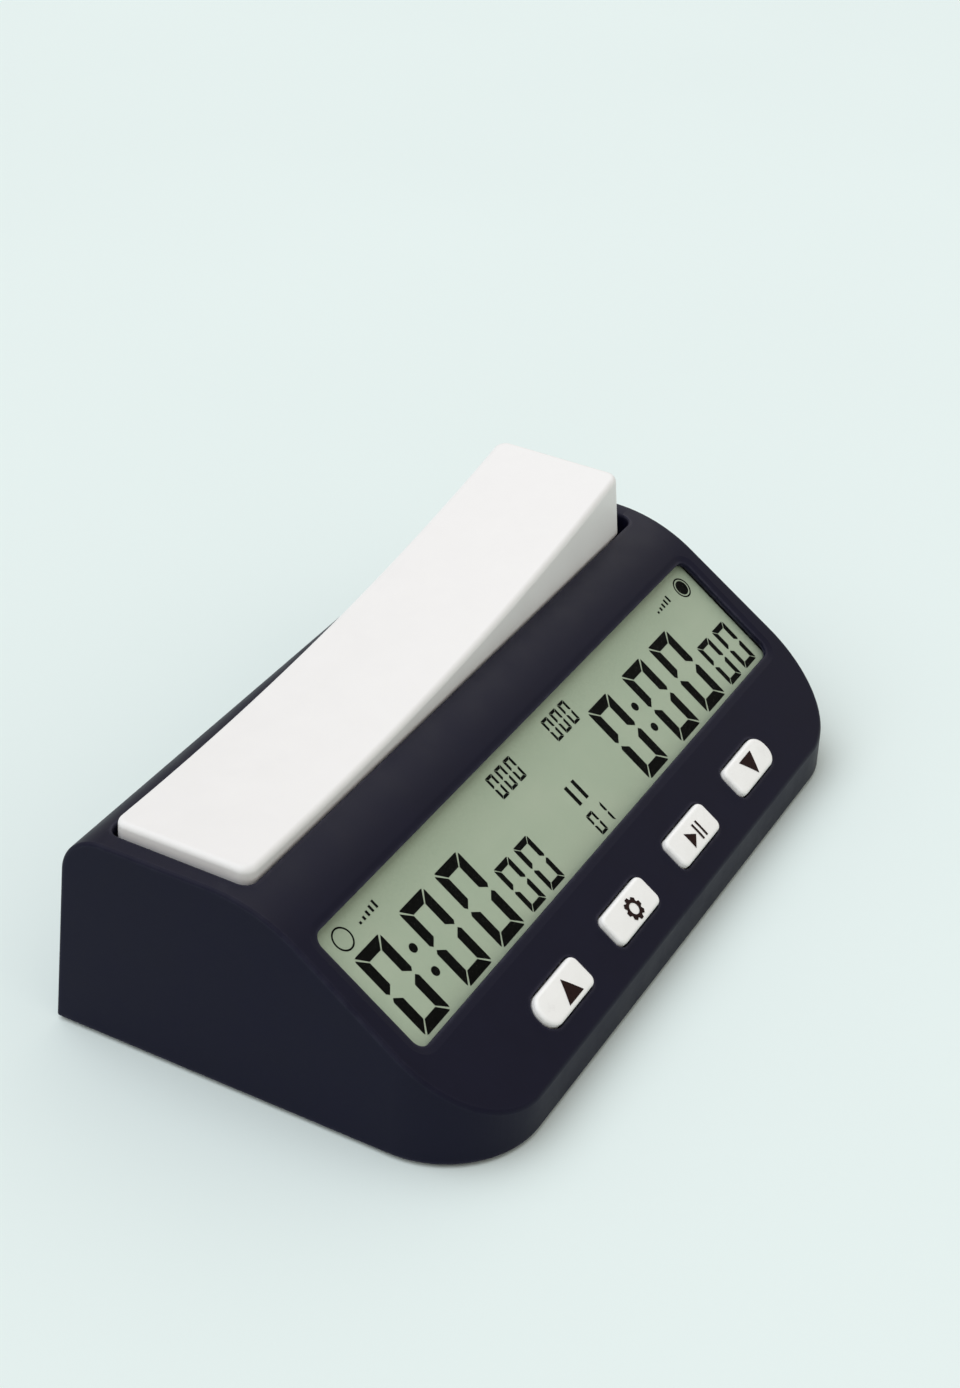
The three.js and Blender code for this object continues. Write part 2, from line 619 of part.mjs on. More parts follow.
const boardUnderside = -BOARD_DEPTH - BOARD_THICKNESS;
const chip = box(-6, 6, 26, 38, boardUnderside - GAP - 1.8, boardUnderside - GAP);
slope.add(part('controller_chip', chip, blackPlastic()));
const crystal = prismZ(rectangle(12, 20, 28.4, 31.6, 1.5), boardUnderside - 3.1, boardUnderside - GAP, 45);
slope.add(part('crystal', crystal, steel()));
const capacitor = disc(26, 34, boardUnderside - 5.6, boardUnderside - GAP, 2.5, 12);
slope.add(part('capacitor', capacitor, material(0x23304f, 0.4)));
const buzzer = cut(solid(disc(46, 27, boardUnderside - 5.5, boardUnderside - GAP, 6, 20)), [
  disc(46, 27, boardUnderside - 6.5, boardUnderside - 4.5, 1.2, 10),
]);
slope.add(part('buzzer', buzzer, blackPlastic()));
BOARD_SCREW_PLACES.forEach(([x, s], index) => {
  const boardScrew = part(`board_screw_${index + 1}`, screw(BOARD_SCREW), steel());
  boardScrew.position.set(x, s, boardUnderside - GAP - BOARD_SCREW.headHeight);
  slope.add(boardScrew);
});

// Rocker, resting with its left end down
const rockerGroup = new THREE.Group();
rockerGroup.position.z = PIVOT_HEIGHT;
rockerGroup.rotation.y = -TILT;
rockerGroup.add(part('rocker', rocker(), whitePlastic()));
chessClock.add(rockerGroup);
const pinShape = prismY(roundHole(PIN_RADIUS), ROCKER_Y - 10.7, ROCKER_Y + 10.7);
chessClock.add(part('pivot_pin', pinShape, steel()));

const pusherSwing = SWITCH_OFFSET * Math.tan(TILT);
const bodyTop = WELL_FLOOR - TUB_FLOOR - GAP;
const bodyBottom = bodyTop - SWITCH_BODY_HEIGHT;
for (const [side, direction] of [['left', -1], ['right', 1]]) {
  const x = direction * SWITCH_OFFSET;
  const swing = direction * pusherSwing;
  const plungerTop = PUSHER_BOTTOM + swing - GAP;
  const half = SWITCH_BODY_SIZE / 2;
  const block = solid(box(x - half, x + half, ROCKER_Y - half, ROCKER_Y + half, bodyBottom, bodyTop));
  const hole = disc(x, ROCKER_Y, bodyBottom + 0.6, bodyTop + 1, PLUNGER_RADIUS + GAP, 10);
  const stem = disc(x, ROCKER_Y, plungerTop - PLUNGER_LENGTH, plungerTop, PLUNGER_RADIUS, 10);
  chessClock.add(part(`${side}_switch_body`, cut(block, [hole]), blackPlastic()));
  chessClock.add(part(`${side}_switch_plunger`, stem, material(0xd9d7cf, 0.5)));
}
for (const [side, direction] of [['left', -1], ['right', 1]]) {
  const ends = [direction * STOP_PAD.inner, direction * STOP_PAD.outer].sort((a, b) => a - b);
  const [front, back] = [ROCKER_Y - STOP_PAD.halfDepth, ROCKER_Y + STOP_PAD.halfDepth];
  const pad = box(...ends, front, back, WELL_FLOOR + STOP_PAD.low, WELL_FLOOR + STOP_PAD.high);
  chessClock.add(part(`${side}_stop_pad`, pad, rubber()));
}

// Batteries and their contacts
const batteryParts = [
  { name: 'front', y: BATTERY_FRONT_Y, springX: BAY_LEFT + 0.9, turn: 1 },
  { name: 'rear', y: BATTERY_REAR_Y, springX: BAY_RIGHT - 0.9, turn: -1 },
];
for (const { name, y, springX, turn } of batteryParts) {
  const cell = part(`${name}_battery`, battery(), material(0xb7a36a, 0.35, 0.4));
  cell.rotation.y = turn * Math.PI / 2;
  cell.position.set(springX + turn * 2.3, y, BATTERY_HEIGHT);
  chessClock.add(cell);
  const spring = part(`${name}_battery_spring`, batterySpring(), tinned());
  spring.rotation.y = turn * Math.PI / 2;
  spring.position.set(springX + turn * 0.3, y, BATTERY_HEIGHT);
  chessClock.add(spring);
}
const contacts = [
  ['negative_contact', BAY_LEFT + 0.2, BATTERY_FRONT_Y - 5.5, BATTERY_FRONT_Y + 5.5],
  ['positive_contact', BAY_LEFT + 0.2, BATTERY_REAR_Y - 5.5, BATTERY_REAR_Y + 5.5],
  ['bridge_contact', BAY_RIGHT - 0.6, BATTERY_FRONT_Y - 5.5, BATTERY_REAR_Y + 5.5],
];
for (const [name, x, front, back] of contacts) {
  const plate = box(x, x + 0.4, front, back, BATTERY_HEIGHT - 5.5, BATTERY_HEIGHT + 5.5);
  chessClock.add(part(name, plate, tinned()));
}

// Leads from the battery bay, over its roof, to the board
const leads = [
  ['positive_lead', 0xa31515, BATTERY_REAR_Y - 3, -52],
  ['negative_lead', 0x161616, BATTERY_FRONT_Y - 3, -56],
];
for (const [name, color, startY, endX] of leads) {
  const outside = BAY_LEFT - BAY_WALL - 1.1;
  const route = [
    new THREE.Vector3(outside, startY, 11),
    new THREE.Vector3(outside, startY, 17),
    new THREE.Vector3(outside + 1, startY - 2.5, 21),
    new THREE.Vector3((outside + endX) / 2, startY / 2 - 4, 21.8),
    new THREE.Vector3(endX, -6, 22),
  ];
  chessClock.add(part(name, wire(route, 0.55, 22), material(color, 0.5)));
}

// Power switch, reached from below
const switchCase = box(POWER_SWITCH_X - 7, POWER_SWITCH_X + 7, -3.4, 3.4, PLATE_TOP + GAP, PLATE_TOP + 5);
const knobRoom = box(POWER_SWITCH_X - 4.8, POWER_SWITCH_X + 4.8, -1.9, 1.9, PLATE_TOP, PLATE_TOP + 2.6);
chessClock.add(part('power_switch_body', cut(solid(switchCase), [knobRoom]), steel()));
const knobX = POWER_SWITCH_X - 1.5;
const knob = join(solid(box(knobX - 1.9, knobX + 1.9, -1.1, 1.1, CASE_BOTTOM + 0.2, PLATE_TOP + 1)), [
  box(knobX - 3, knobX + 3, -1.6, 1.6, PLATE_TOP + GAP, PLATE_TOP + 2.2),
]);
chessClock.add(part('power_switch_knob', knob, blackPlastic()));

CASE_SCREW_PLACES.forEach(([x, y], index) => {
  const caseScrew = part(`case_screw_${index + 1}`, screw(CASE_SCREW), steel());
  caseScrew.position.set(x, y, CASE_BOTTOM + 0.3);
  chessClock.add(caseScrew);
});
FOOT_PLACES.forEach(([x, y], index) => {
  chessClock.add(part(`foot_${index + 1}`, disc(x, y, 0, FOOT_HEIGHT, FOOT_RADIUS, 20), rubber()));
});

export default chessClock;
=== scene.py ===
import math

import bmesh
import bpy
from mathutils import Matrix, Vector


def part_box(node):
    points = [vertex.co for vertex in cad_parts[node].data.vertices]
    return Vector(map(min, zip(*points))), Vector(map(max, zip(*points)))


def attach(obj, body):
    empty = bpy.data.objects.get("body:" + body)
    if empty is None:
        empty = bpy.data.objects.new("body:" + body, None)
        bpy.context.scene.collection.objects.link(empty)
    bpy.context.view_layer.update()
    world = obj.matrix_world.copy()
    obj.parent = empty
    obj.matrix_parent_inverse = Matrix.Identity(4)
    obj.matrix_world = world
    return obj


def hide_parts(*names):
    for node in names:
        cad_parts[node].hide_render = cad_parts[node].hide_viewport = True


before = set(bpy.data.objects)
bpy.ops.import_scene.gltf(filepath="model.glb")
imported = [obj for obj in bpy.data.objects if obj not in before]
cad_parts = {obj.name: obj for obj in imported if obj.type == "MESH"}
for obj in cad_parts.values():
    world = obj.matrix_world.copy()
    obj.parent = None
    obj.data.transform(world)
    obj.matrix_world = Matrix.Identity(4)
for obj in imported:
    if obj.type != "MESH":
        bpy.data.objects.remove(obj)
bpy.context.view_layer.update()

# Looks of the digital chess clock. Shapes are worked out in millimetres in the CAD model's frame:
# +X towards the right-hand player, +Y to the back, +Z up, with the origin on the table.

MM = 0.001

# Case
CASE_LENGTH = 155
CASE_DEPTH = 85
CASE_BOTTOM = 0.8
CASE_TOP = 39.8
WALL = 2.2
GAP = 0.3
LIP_HEIGHT = 8.2
SHOULDER_RADIUS = 30
BACK_TOP_RADIUS = 8
FRONT_CORNER_RADIUS = 18.4
CASE_EDGE = 0.6
CASE_POST_RADIUS = 3.0
CASE_POST_FRONT_TOP = 22
CASE_SCREW_BORE = 1.5
CASE_SCREW_BORE_TOP = 10.8
PLAN_OVERRUN = 0.5
SLOPE = math.radians(35.1)
END_LEAN = math.tan(math.radians(2.8))
BACK_LEAN = math.tan(math.radians(2.7))
FRONT = -CASE_DEPTH / 2
BACK = CASE_DEPTH / 2

# Display. Depths are below the sloped face, and laps are how far the pane reaches past its window.
WINDOW_LENGTH = 142.4
WINDOW_BOTTOM = 19.6
WINDOW_TOP = 45.1
WINDOW_RADIUS = 2.3
CHAMFER_WIDTH = 1.6
CHAMFER_DEPTH = 0.25
LENS_GAP = 0.1
LENS_DEPTH = 1.3
LENS_THICKNESS = 0.5
LENS_LAP_ENDS = 1.8
LENS_LAP_BELOW = 2
LENS_LAP_ABOVE = 1.9
LENS_CORNER = 0.5
GLASS_DEPTH = 1.95
GLASS_THICKNESS = 1.7
GLASS_HALF_LENGTH = 71.9
GLASS_LOW = 18.7
GLASS_HIGH = 45.9
GLASS_CORNER = 0.45
BOARD_DEPTH = 6.4
BOARD_THICKNESS = 1.6
BOARD_POST_RADIUS = 1.9
INK_THICKNESS = 0.03

# Buttons
BUTTON_WIDTH = 15.6
BUTTON_HEIGHT = 6.5
BUTTON_MIDDLE = 8.1
BUTTON_PITCH = 26.5
BUTTON_PROUD = 1.0
BUTTON_CROWN = 0.16
BUTTON_CORNER = 1.5
BUTTON_ROUND_END = 3.0
BUTTON_BASE_DEPTH = 3.7
BUTTON_EDGE = 0.7
BUTTON_STEM_RADIUS = 1.6
BUTTON_HOLE_DEPTH = 4
BUTTON_HOLE_EDGE = 0.2
FLANGE_BASE_DEPTH = 3.5
FLANGE_DEPTH = 2.6
FLANGE_LIP = 0.8

# Rocker and its well
WELL_HALF_LENGTH = 71.7
WELL_FRONT = 6.5
WELL_BACK = 34.3
WELL_FLOOR = 26.1
WELL_CORNER = 2.4
WELL_EDGE = 0.45
TUB_WALL = 1.8
TUB_FLOOR = 1.6
TUB_HALF_LENGTH = 75
PIVOT_HEIGHT = 11
TILT = math.radians(4.85)
ROCKER_DRAFT = math.tan(math.radians(7.5))
ROCKER_RIM_HALF_LENGTH = 68.8
ROCKER_TOP_MIDDLE = 43.7
ROCKER_TOP_RADIUS = 611
ROCKER_SKIRT_BOTTOM = 32.9
ROCKER_WALL = 2.2
ROCKER_CORNER = 2.6
ROCKER_EDGE = 1.2
ROCKER_RIBS = (-50, -33, 33, 50)
ROCKER_RIB_HALF = 0.9
ROCKER_RIB_TOP = 60
ROCKER_Y = (WELL_FRONT + WELL_BACK) / 2
WELL_PLAY = 0.35
PIN_RADIUS = 1.5
PIN_BORE_HALF_DEPTH = 9
LEG_HALF_LENGTH = 4
LEG_HALF_DEPTH = 7
LEG_CORNER = 3.2
LEG_SLOT_HALF_LENGTH = 8
LEG_SLOT_HALF_DEPTH = 8.5
SWITCH_OFFSET = 16
PLUNGER_HOLE_RADIUS = 1.6
PUSHER_RADIUS = 2.5
PUSHER_BOTTOM = 28.6
PAD_TOP = 4.2

SLOPE_PLACE = Matrix.Translation((0, FRONT, LIP_HEIGHT)) @ Matrix.Rotation(SLOPE, 4, "X")
ROCKER_PLACE = Matrix.Translation((0, 0, PIVOT_HEIGHT)) @ Matrix.Rotation(-TILT, 4, "Y")


def middle(node):
    """The middle of a CAD node, in millimetres."""
    low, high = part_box(node)
    return (low + high) / 2 / MM


def numbered(stem, count):
    return [f"{stem}_{index + 1}" for index in range(count)]


# ---------------------------------------------------------------- outlines


def outline(corners, arc_step=4.0):
    """Points of a closed outline from its corners (u, v, radius), in anticlockwise order."""
    points = []
    for index, (u, v, radius) in enumerate(corners):
        corner = Vector((u, v))
        if radius == 0:
            points.append(corner)
            continue
        before = Vector(corners[index - 1][:2])
        after = Vector(corners[(index + 1) % len(corners)][:2])
        to_before = (before - corner).normalized()
        to_after = (after - corner).normalized()
        half_angle = math.acos(max(-1.0, min(1.0, to_before.dot(to_after)))) / 2
        centre = corner + (to_before + to_after).normalized() * radius / math.sin(half_angle)
        start = corner + to_before * radius / math.tan(half_angle) - centre
        turn = math.pi - 2 * half_angle
        side = math.copysign(1, to_after.cross(to_before))
        steps = max(2, math.ceil(math.degrees(turn) / arc_step))
        for step in range(steps + 1):
            points.append(centre + Matrix.Rotation(side * turn * step / steps, 2) @ start)
    return points


def inset(corners, distance):
    """The same corners moved inwards, with their radii reduced to match."""
    moved = []
    for index, (u, v, radius) in enumerate(corners):
        before = corners[index - 1]
        after = corners[(index + 1) % len(corners)]
        arriving = Vector((u - before[0], v - before[1])).normalized()
        leaving = Vector((after[0] - u, after[1] - v)).normalized()
        shift = (leaving - arriving) * distance / arriving.cross(leaving)
        moved.append((u + shift.x, v + shift.y, max(radius - distance, 0.2) if radius else 0))
    return moved


def rectangle(left, right, low, high, radius=0.0):
    return [(left, low, radius), (right, low, radius), (right, high, radius), (left, high, radius)]


def side_corners(front, bottom):
    """The case from its right-hand end, as y and z, with the slope carried on to the given front."""
    slope_top = FRONT + (CASE_TOP - LIP_HEIGHT) / math.tan(SLOPE)
    toe = LIP_HEIGHT + (front - FRONT) * math.tan(SLOPE)
    return [
        (front, bottom, 0),
        (BACK - bottom * BACK_LEAN, bottom, 0),
        (BACK - CASE_TOP * BACK_LEAN, CASE_TOP, BACK_TOP_RADIUS),
        (slope_top, CASE_TOP, SHOULDER_RADIUS),
        (front, toe, 0),
    ]


def plan_corners():
    half = CASE_LENGTH / 2
    return [
        (-half, FRONT, FRONT_CORNER_RADIUS),
        (half, FRONT, FRONT_CORNER_RADIUS),
        (half, BACK + PLAN_OVERRUN, 0),
        (-half, BACK + PLAN_OVERRUN, 0),
    ]


def window_corners(margin):
    half = WINDOW_LENGTH / 2 + margin
    radius = WINDOW_RADIUS + margin
    return rectangle(-half, half, WINDOW_BOTTOM - margin, WINDOW_TOP + margin, radius)


def lens_corners(margin):
    half = WINDOW_LENGTH / 2 + LENS_LAP_ENDS + margin
    low = WINDOW_BOTTOM - LENS_LAP_BELOW - margin
    high = WINDOW_TOP + LENS_LAP_ABOVE + margin
    return rectangle(-half, half, low, high, LENS_CORNER)


def button_corners(kind, margin, radius_margin=None):
    radius_margin = margin if radius_margin is None else radius_margin
    half = BUTTON_WIDTH / 2 + margin
    low = BUTTON_MIDDLE - BUTTON_HEIGHT / 2 - margin
    high = BUTTON_MIDDLE + BUTTON_HEIGHT / 2 + margin
    left = (BUTTON_ROUND_END if kind == "left end" else BUTTON_CORNER) + radius_margin
    right = (BUTTON_ROUND_END if kind == "right end" else BUTTON_CORNER) + radius_margin
    return [(-half, low, left), (half, low, right), (half, high, right), (-half, high, left)]


# ---------------------------------------------------------------- solids


def to_mesh(build, name):
    """A bmesh in millimetres becomes a mesh object in metres."""
    bmesh.ops.recalc_face_normals(build, faces=build.faces)
    data = bpy.data.meshes.new(name)
    build.to_mesh(data)
    build.free()
    data.transform(Matrix.Scale(MM, 4))
    thing = bpy.data.objects.new(name, data)
    bpy.context.scene.collection.objects.link(thing)
    return thing


def loft_build(rings):
    """A closed bmesh through rings of points, capped at both ends."""
    build = bmesh.new()
    rows = [[build.verts.new(point) for point in ring] for ring in rings]
    count = len(rows[0])
    for lower, upper in zip(rows, rows[1:]):
        for i in range(count):
            j = (i + 1) % count
            build.faces.new((lower[i], lower[j], upper[j], upper[i]))
    build.faces.new(list(reversed(rows[0])))
    build.faces.new(rows[-1])
    return build


def loft(rings, name="solid", place=None):
    build = loft_build(rings)
    if place is not None:
        bmesh.ops.transform(build, matrix=place, verts=build.verts)
    return to_mesh(build, name)


def prism_z(points, low, high, place=None, name="prism"):
    return loft([[(p[0], p[1], z) for p in points] for z in (low, high)], name, place)


def prism_x(points, low, high, place=None, name="prism"):
    return loft([[(x, p[0], p[1]) for p in points] for x in (low, high)], name, place)


def prism_y(points, low, high, place=None, name="prism"):
    return loft([[(p[0], y, p[1]) for p in points] for y in (low, high)], name, place)


def block(left, right, front, back, low, high, place=None, name="block"):
    return prism_z(outline(rectangle(left, right, front, back)), low, high, place, name)


def circle(radius, sides, x=0.0, y=0.0):
    angles = (2 * math.pi * side / sides for side in range(sides))
    return [(x + radius * math.cos(angle), y + radius * math.sin(angle)) for angle in angles]


def disc(x, y, low, high, radius, place=None, sides=32):
    return prism_z(circle(radius, sides, x, y), low, high, place, "disc")


def turned(profile, place, name="turned", sides=48):
    """A turned solid about Z from its profile of (radius, height), given without its axis points."""
    return loft([[(*p, height) for p in circle(radius, sides)] for radius, height in profile], name, place)


def apply_modifiers(thing):
    depsgraph = bpy.context.evaluated_depsgraph_get()
    depsgraph.update()
    data = bpy.data.meshes.new_from_object(thing.evaluated_get(depsgraph))
    thing.modifiers.clear()
    old = thing.data
    thing.data = data
    bpy.data.meshes.remove(old)


def combine(body, operation, tools):
    """Cuts, joins or intersects the body with each tool, and removes the tools."""
    for tool in tools:
        modifier = body.modifiers.new("combine", "BOOLEAN")
        modifier.operation = operation
        modifier.solver = "EXACT"
        modifier.object = tool
    apply_modifiers(body)
    for tool in tools:
        data = tool.data
        bpy.data.objects.remove(tool)
        bpy.data.meshes.remove(data)
    return body


def soften(thing, width, segments=3, angle=30, chosen=None):
    """Rounds the edges that are sharper than an angle and pass the test, given their ends in mm."""
    build = bmesh.new()
    build.from_mesh(thing.data)
    bmesh.ops.remove_doubles(build, verts=build.verts, dist=2e-7)
    bmesh.ops.dissolve_limit(build, angle_limit=math.radians(0.3), verts=build.verts, edges=build.edges)
    edges = []
    for edge in build.edges:
        if len(edge.link_faces) != 2 or edge.calc_face_angle(0) < math.radians(angle):
            continue
        if chosen is None or chosen(edge.verts[0].co / MM, edge.verts[1].co / MM):
            edges.append(edge)
    bmesh.ops.bevel(
        build, geom=edges, offset=width * MM, segments=segments, profile=0.5,
        affect="EDGES", clamp_overlap=True, loop_slide=True,
    )
    build.to_mesh(thing.data)
    build.free()
    return thing


def shade(thing, angle=32):
    """Smooth shading inside each rounded region, with flat faces kept flat."""
    thing.data.shade_smooth()
    thing.data.set_sharp_from_angle(angle=math.radians(angle))
    normals = thing.modifiers.new("normals", "WEIGHTED_NORMAL")
    normals.keep_sharp = True


def finish_piece(thing, name, body, material, nodes=(), angle=32):
    thing.name = name
    thing.data.name = name
    thing.data.materials.clear()
    for entry in material if isinstance(material, (list, tuple)) else [material]:
        thing.data.materials.append(entry)
    shade(thing, angle)
    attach(thing, body)
    if nodes:
        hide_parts(*nodes)


# ---------------------------------------------------------------- materials


class Nodes:
    """A few short ways to add shader nodes to one material."""

    def __init__(self, name):
        self.material = bpy.data.materials.new(name)
        self.material.use_nodes = True
        self.tree = self.material.node_tree
        self.tree.nodes.clear()
        self.place = self.add("TexCoord").outputs["Object"]

    def add(self, kind, **inputs):
        node = self.tree.nodes.new("ShaderNode" + kind)
        for key, value in inputs.items():
            self.set(node, key.replace("_", " "), value)
        return node

    def set(self, node, key, value):
        if isinstance(value, bpy.types.NodeSocket):
            self.tree.links.new(value, node.inputs[key])
        else:
            node.inputs[key].default_value = value

    def noise(self, size_mm, detail=3.0, roughness=0.55, stretch=None):
        """Noise whose features are about the given size."""
        place = self.place
        if stretch is not None:
            stretched = self.add("Mapping", Vector=place)
            stretched.inputs["Scale"].default_value = stretch
            place = stretched.outputs["Vector"]
        scale = 1 / (size_mm * MM)
        node = self.add("TexNoise", Vector=place, Scale=scale, Detail=detail, Roughness=roughness)
        return node.outputs["Fac"]

    def spread(self, value, low, high, start=0.3, end=0.7):
        node = self.add("MapRange", Value=value)
        self.set(node, "From Min", start)
        self.set(node, "From Max", end)
        self.set(node, "To Min", low)
        self.set(node, "To Max", high)
        return node.outputs["Result"]

    def blend(self, amount, first, second):
        node = self.tree.nodes.new("ShaderNodeMix")
        node.data_type = "RGBA"
        for index, value in ((0, amount), (6, first), (7, second)):
            if isinstance(value, bpy.types.NodeSocket):
                self.tree.links.new(value, node.inputs[index])
            else:
                node.inputs[index].default_value = value
        return node.outputs[2]

    def times(self, first, second):
        node = self.add("Math")
        node.operation = "MULTIPLY"
        self.set(node, 0, first)
        self.set(node, 1, second)
        return node.outputs[0]

    def edges(self, radius_mm):
        """1 along rounded edges and 0 on flat faces."""
        rounded = self.add("Bevel", Radius=radius_mm * MM)
        rounded.samples = 4
        plain = self.add("NewGeometry")
        dot = self.tree.nodes.new("ShaderNodeVectorMath")
        dot.operation = "DOT_PRODUCT"
        self.tree.links.new(rounded.outputs["Normal"], dot.inputs[0])
        self.tree.links.new(plain.outputs["Normal"], dot.inputs[1])
        return self.spread(dot.outputs["Value"], 1, 0, 0.75, 0.99)

    def relief(self, height, depth_mm, under=None):
        node = self.add("Bump", Strength=1.0, Distance=depth_mm * MM, Height=height)
        if under is not None:
            self.tree.links.new(under, node.inputs["Normal"])
        return node.outputs["Normal"]

    def principled(self, **inputs):
        shader = self.add("BsdfPrincipled", **inputs)
        self.output(shader.outputs["BSDF"])
        return self.material

    def output(self, surface):
        node = self.add("OutputMaterial")
        self.tree.links.new(surface, node.inputs["Surface"])


def rgb(red, green, blue):
    """A display colour of 0 to 255 as the shader's linear colour."""
    def linear(value):
        share = value / 255
        return share / 12.92 if share <= 0.04045 else ((share + 0.055) / 1.055) ** 2.4
    return (linear(red), linear(green), linear(blue), 1.0)


def scaled(color, amount):
    return (color[0] * amount, color[1] * amount, color[2] * amount, 1.0)


def moulded(name, color, roughness, grain=0.22, depth=0.006, shine=0.5, edge_wear_and_highlight=None, rub_and_highlight_mm=0.9, vary=0.06):
    """Moulded plastic: a fine eroded grain, cloudy gloss, slight colour drift and lighter edges that are
    part rubbed wear and part painted highlight.
    """
    n = Nodes(name)
    clouds = n.noise(9.0, 4)
    grain_height = n.noise(grain, 2, 0.6)
    tint = n.blend(n.spread(clouds, 0, 1), scaled(color, 1 - vary), scaled(color, 1 + vary))
    # Lighter rounded edges: part rubbed wear, part painted highlight where the edges would catch the light.
    if edge_wear_and_highlight is not None:
        rubbed_and_highlit = n.times(n.edges(rub_and_highlight_mm), n.spread(n.noise(2.6, 5), 0.35, 0.95, 0.35, 0.65))
        tint = n.blend(rubbed_and_highlit, tint, edge_wear_and_highlight)
    ripple = n.relief(n.noise(6.0, 1), 0.01)
    return n.principled(
        Base_Color=tint,
        Roughness=n.spread(clouds, roughness - 0.05, roughness + 0.06),
        Specular_IOR_Level=shine,
        Normal=n.relief(grain_height, depth, ripple),
    )


def metal(name, color, roughness, stretch=(1, 1, 1)):
    """Drawn or rolled metal with fine lines and a few dull patches."""
    n = Nodes(name)
    patches = n.noise(3.5, 4)
    lines = n.noise(0.25, 3, 0.6, stretch)
    return n.principled(
        Base_Color=n.blend(n.spread(patches, 0, 1), scaled(color, 0.86), color),
        Metallic=1.0,
        Roughness=n.spread(patches, roughness - 0.06, roughness + 0.12),
        Normal=n.relief(lines, 0.004),
    )


def rubber(name, color, roughness=0.85, grain=0.35):
    n = Nodes(name)
    dust = n.noise(1.6, 5, 0.7)
    return n.principled(
        Base_Color=n.blend(n.spread(dust, 0, 0.5, 0.5, 0.75), color, scaled(color, 2.4)),
        Roughness=n.spread(dust, roughness - 0.08, roughness + 0.08),
        Specular_IOR_Level=0.3,
        Normal=n.relief(n.noise(grain, 3, 0.6), 0.012),
    )


def circuit_board(name):
    """Green solder mask over a faint pattern of straight tracks."""
    n = Nodes(name)
    tracks = n.add("TexBrick", Vector=n.place, Scale=220.0)
    tracks.inputs["Mortar Size"].default_value = 0.03
    fibres = n.noise(0.5, 4)
    mask = n.blend(n.spread(fibres, 0, 1), rgb(20, 74, 42), rgb(27, 88, 50))
    return n.principled(
        Base_Color=n.blend(tracks.outputs["Fac"], mask, rgb(44, 116, 66)),
        Roughness=n.spread(fibres, 0.3, 0.45),
        Normal=n.relief(tracks.outputs["Fac"], 0.02),
    )


def liquid_crystal(name):
    """The reflective grey-green panel, a little mottled, with painted shade darkening it towards its upper
    edge, where the window's frame shades it.
    """
    n = Nodes(name)
    clouds = n.noise(14.0, 3)
    fleck = n.noise(0.5, 2)
    base = n.blend(n.spread(clouds, 0, 1), LCD_DARK, LCD_PALE)
    across = n.add("SeparateXYZ", Vector=n.place)
    # Painted shade: the panel darkens towards its upper edge as if shaded by the window's frame.
    upper = n.spread(across.outputs["Z"], 0, 1, LCD_SHADE_START, LCD_SHADE_FULL)
    shaded = n.blend(n.times(upper, 0.6), base, LCD_PAINTED_SHADE)
    return n.principled(
        Base_Color=n.blend(n.spread(fleck, 0, 0.25), shaded, scaled(LCD_PALE, 1.08)),
        Roughness=n.spread(clouds, 0.42, 0.55),
        Specular_IOR_Level=0.25,
        Normal=n.relief(fleck, 0.002),
    )


def clear_pane(name):
    """Thin clear plastic: almost all light passes, with a weak sheen that grows at low angles."""
    n = Nodes(name)
    smear = n.noise(18.0, 4)
    reach = n.add("LayerWeight", Blend=0.12).outputs["Fresnel"]
    front_only = n.spread(n.add("NewGeometry").outputs["Backfacing"], 1, 0, 0, 1)
    sheen = n.times(n.times(reach, front_only), n.spread(smear, 0.04, 0.09))
    clear = n.add("BsdfTransparent", Color=(0.985, 0.99, 0.985, 1))
    gloss = n.add("BsdfGlossy", Color=(1, 1, 1, 1), Roughness=0.12, Normal=n.relief(smear, 0.004))
    mix = n.tree.nodes.new("ShaderNodeMixShader")
    n.tree.links.new(sheen, mix.inputs[0])
    n.tree.links.new(clear.outputs[0], mix.inputs[1])
    n.tree.links.new(gloss.outputs[0], mix.inputs[2])
    n.output(mix.outputs[0])
    return n.material


def ink(name, color, roughness):
    """Printed or displayed black, slightly uneven."""
    n = Nodes(name)
    film = n.noise(0.6, 3)
    return n.principled(
        Base_Color=n.blend(n.spread(film, 0, 1), color, scaled(color, 1.5)),
        Roughness=n.spread(film, roughness - 0.05, roughness + 0.08),
        Specular_IOR_Level=0.06,
        Normal=n.relief(film, 0.002),
    )


LCD_PALE = rgb(177, 189, 168)
LCD_DARK = rgb(170, 185, 163)
# Painted shade colour for the panel's upper edge under the window's frame.
LCD_PAINTED_SHADE = rgb(146, 160, 138)
# Metres above the table between which painted shade from the window's frame darkens the panel towards its
# upper edge.
LCD_SHADE_START = 0.0265
LCD_SHADE_FULL = 0.0325
NAVY = rgb(18, 18, 37)
WHITE = rgb(240, 239, 238)

# The case's lighter edge colour is partly wear and partly a painted highlight along its rounded edges.
case_plastic = moulded("case_plastic", NAVY, 0.45, 0.3, 0.01, 0.11, rgb(68, 68, 82), 1.3)
cap_plastic = moulded(
    "cap_plastic", rgb(252, 252, 250), 0.4, 0.5, 0.003, 0.4, edge_wear_and_highlight=rgb(253, 253, 253), vary=0.01,
)
white_plastic = moulded("white_plastic", WHITE, 0.42, 0.5, 0.003, 0.4, edge_wear_and_highlight=rgb(246, 246, 246), vary=0.015)
black_plastic = moulded("black_plastic", rgb(24, 24, 26), 0.5)
ivory_plastic = moulded("ivory_plastic", rgb(222, 218, 204), 0.45, 0.4, 0.004)
silicone = moulded("silicone", rgb(112, 114, 117), 0.78, 0.5, 0.01)
zebra_rubber = rubber("zebra_rubber", rgb(186, 148, 138), 0.7)
black_rubber = rubber("black_rubber", rgb(26, 26, 27))
steel = metal("steel", rgb(186, 188, 191), 0.32, (1, 1, 6))
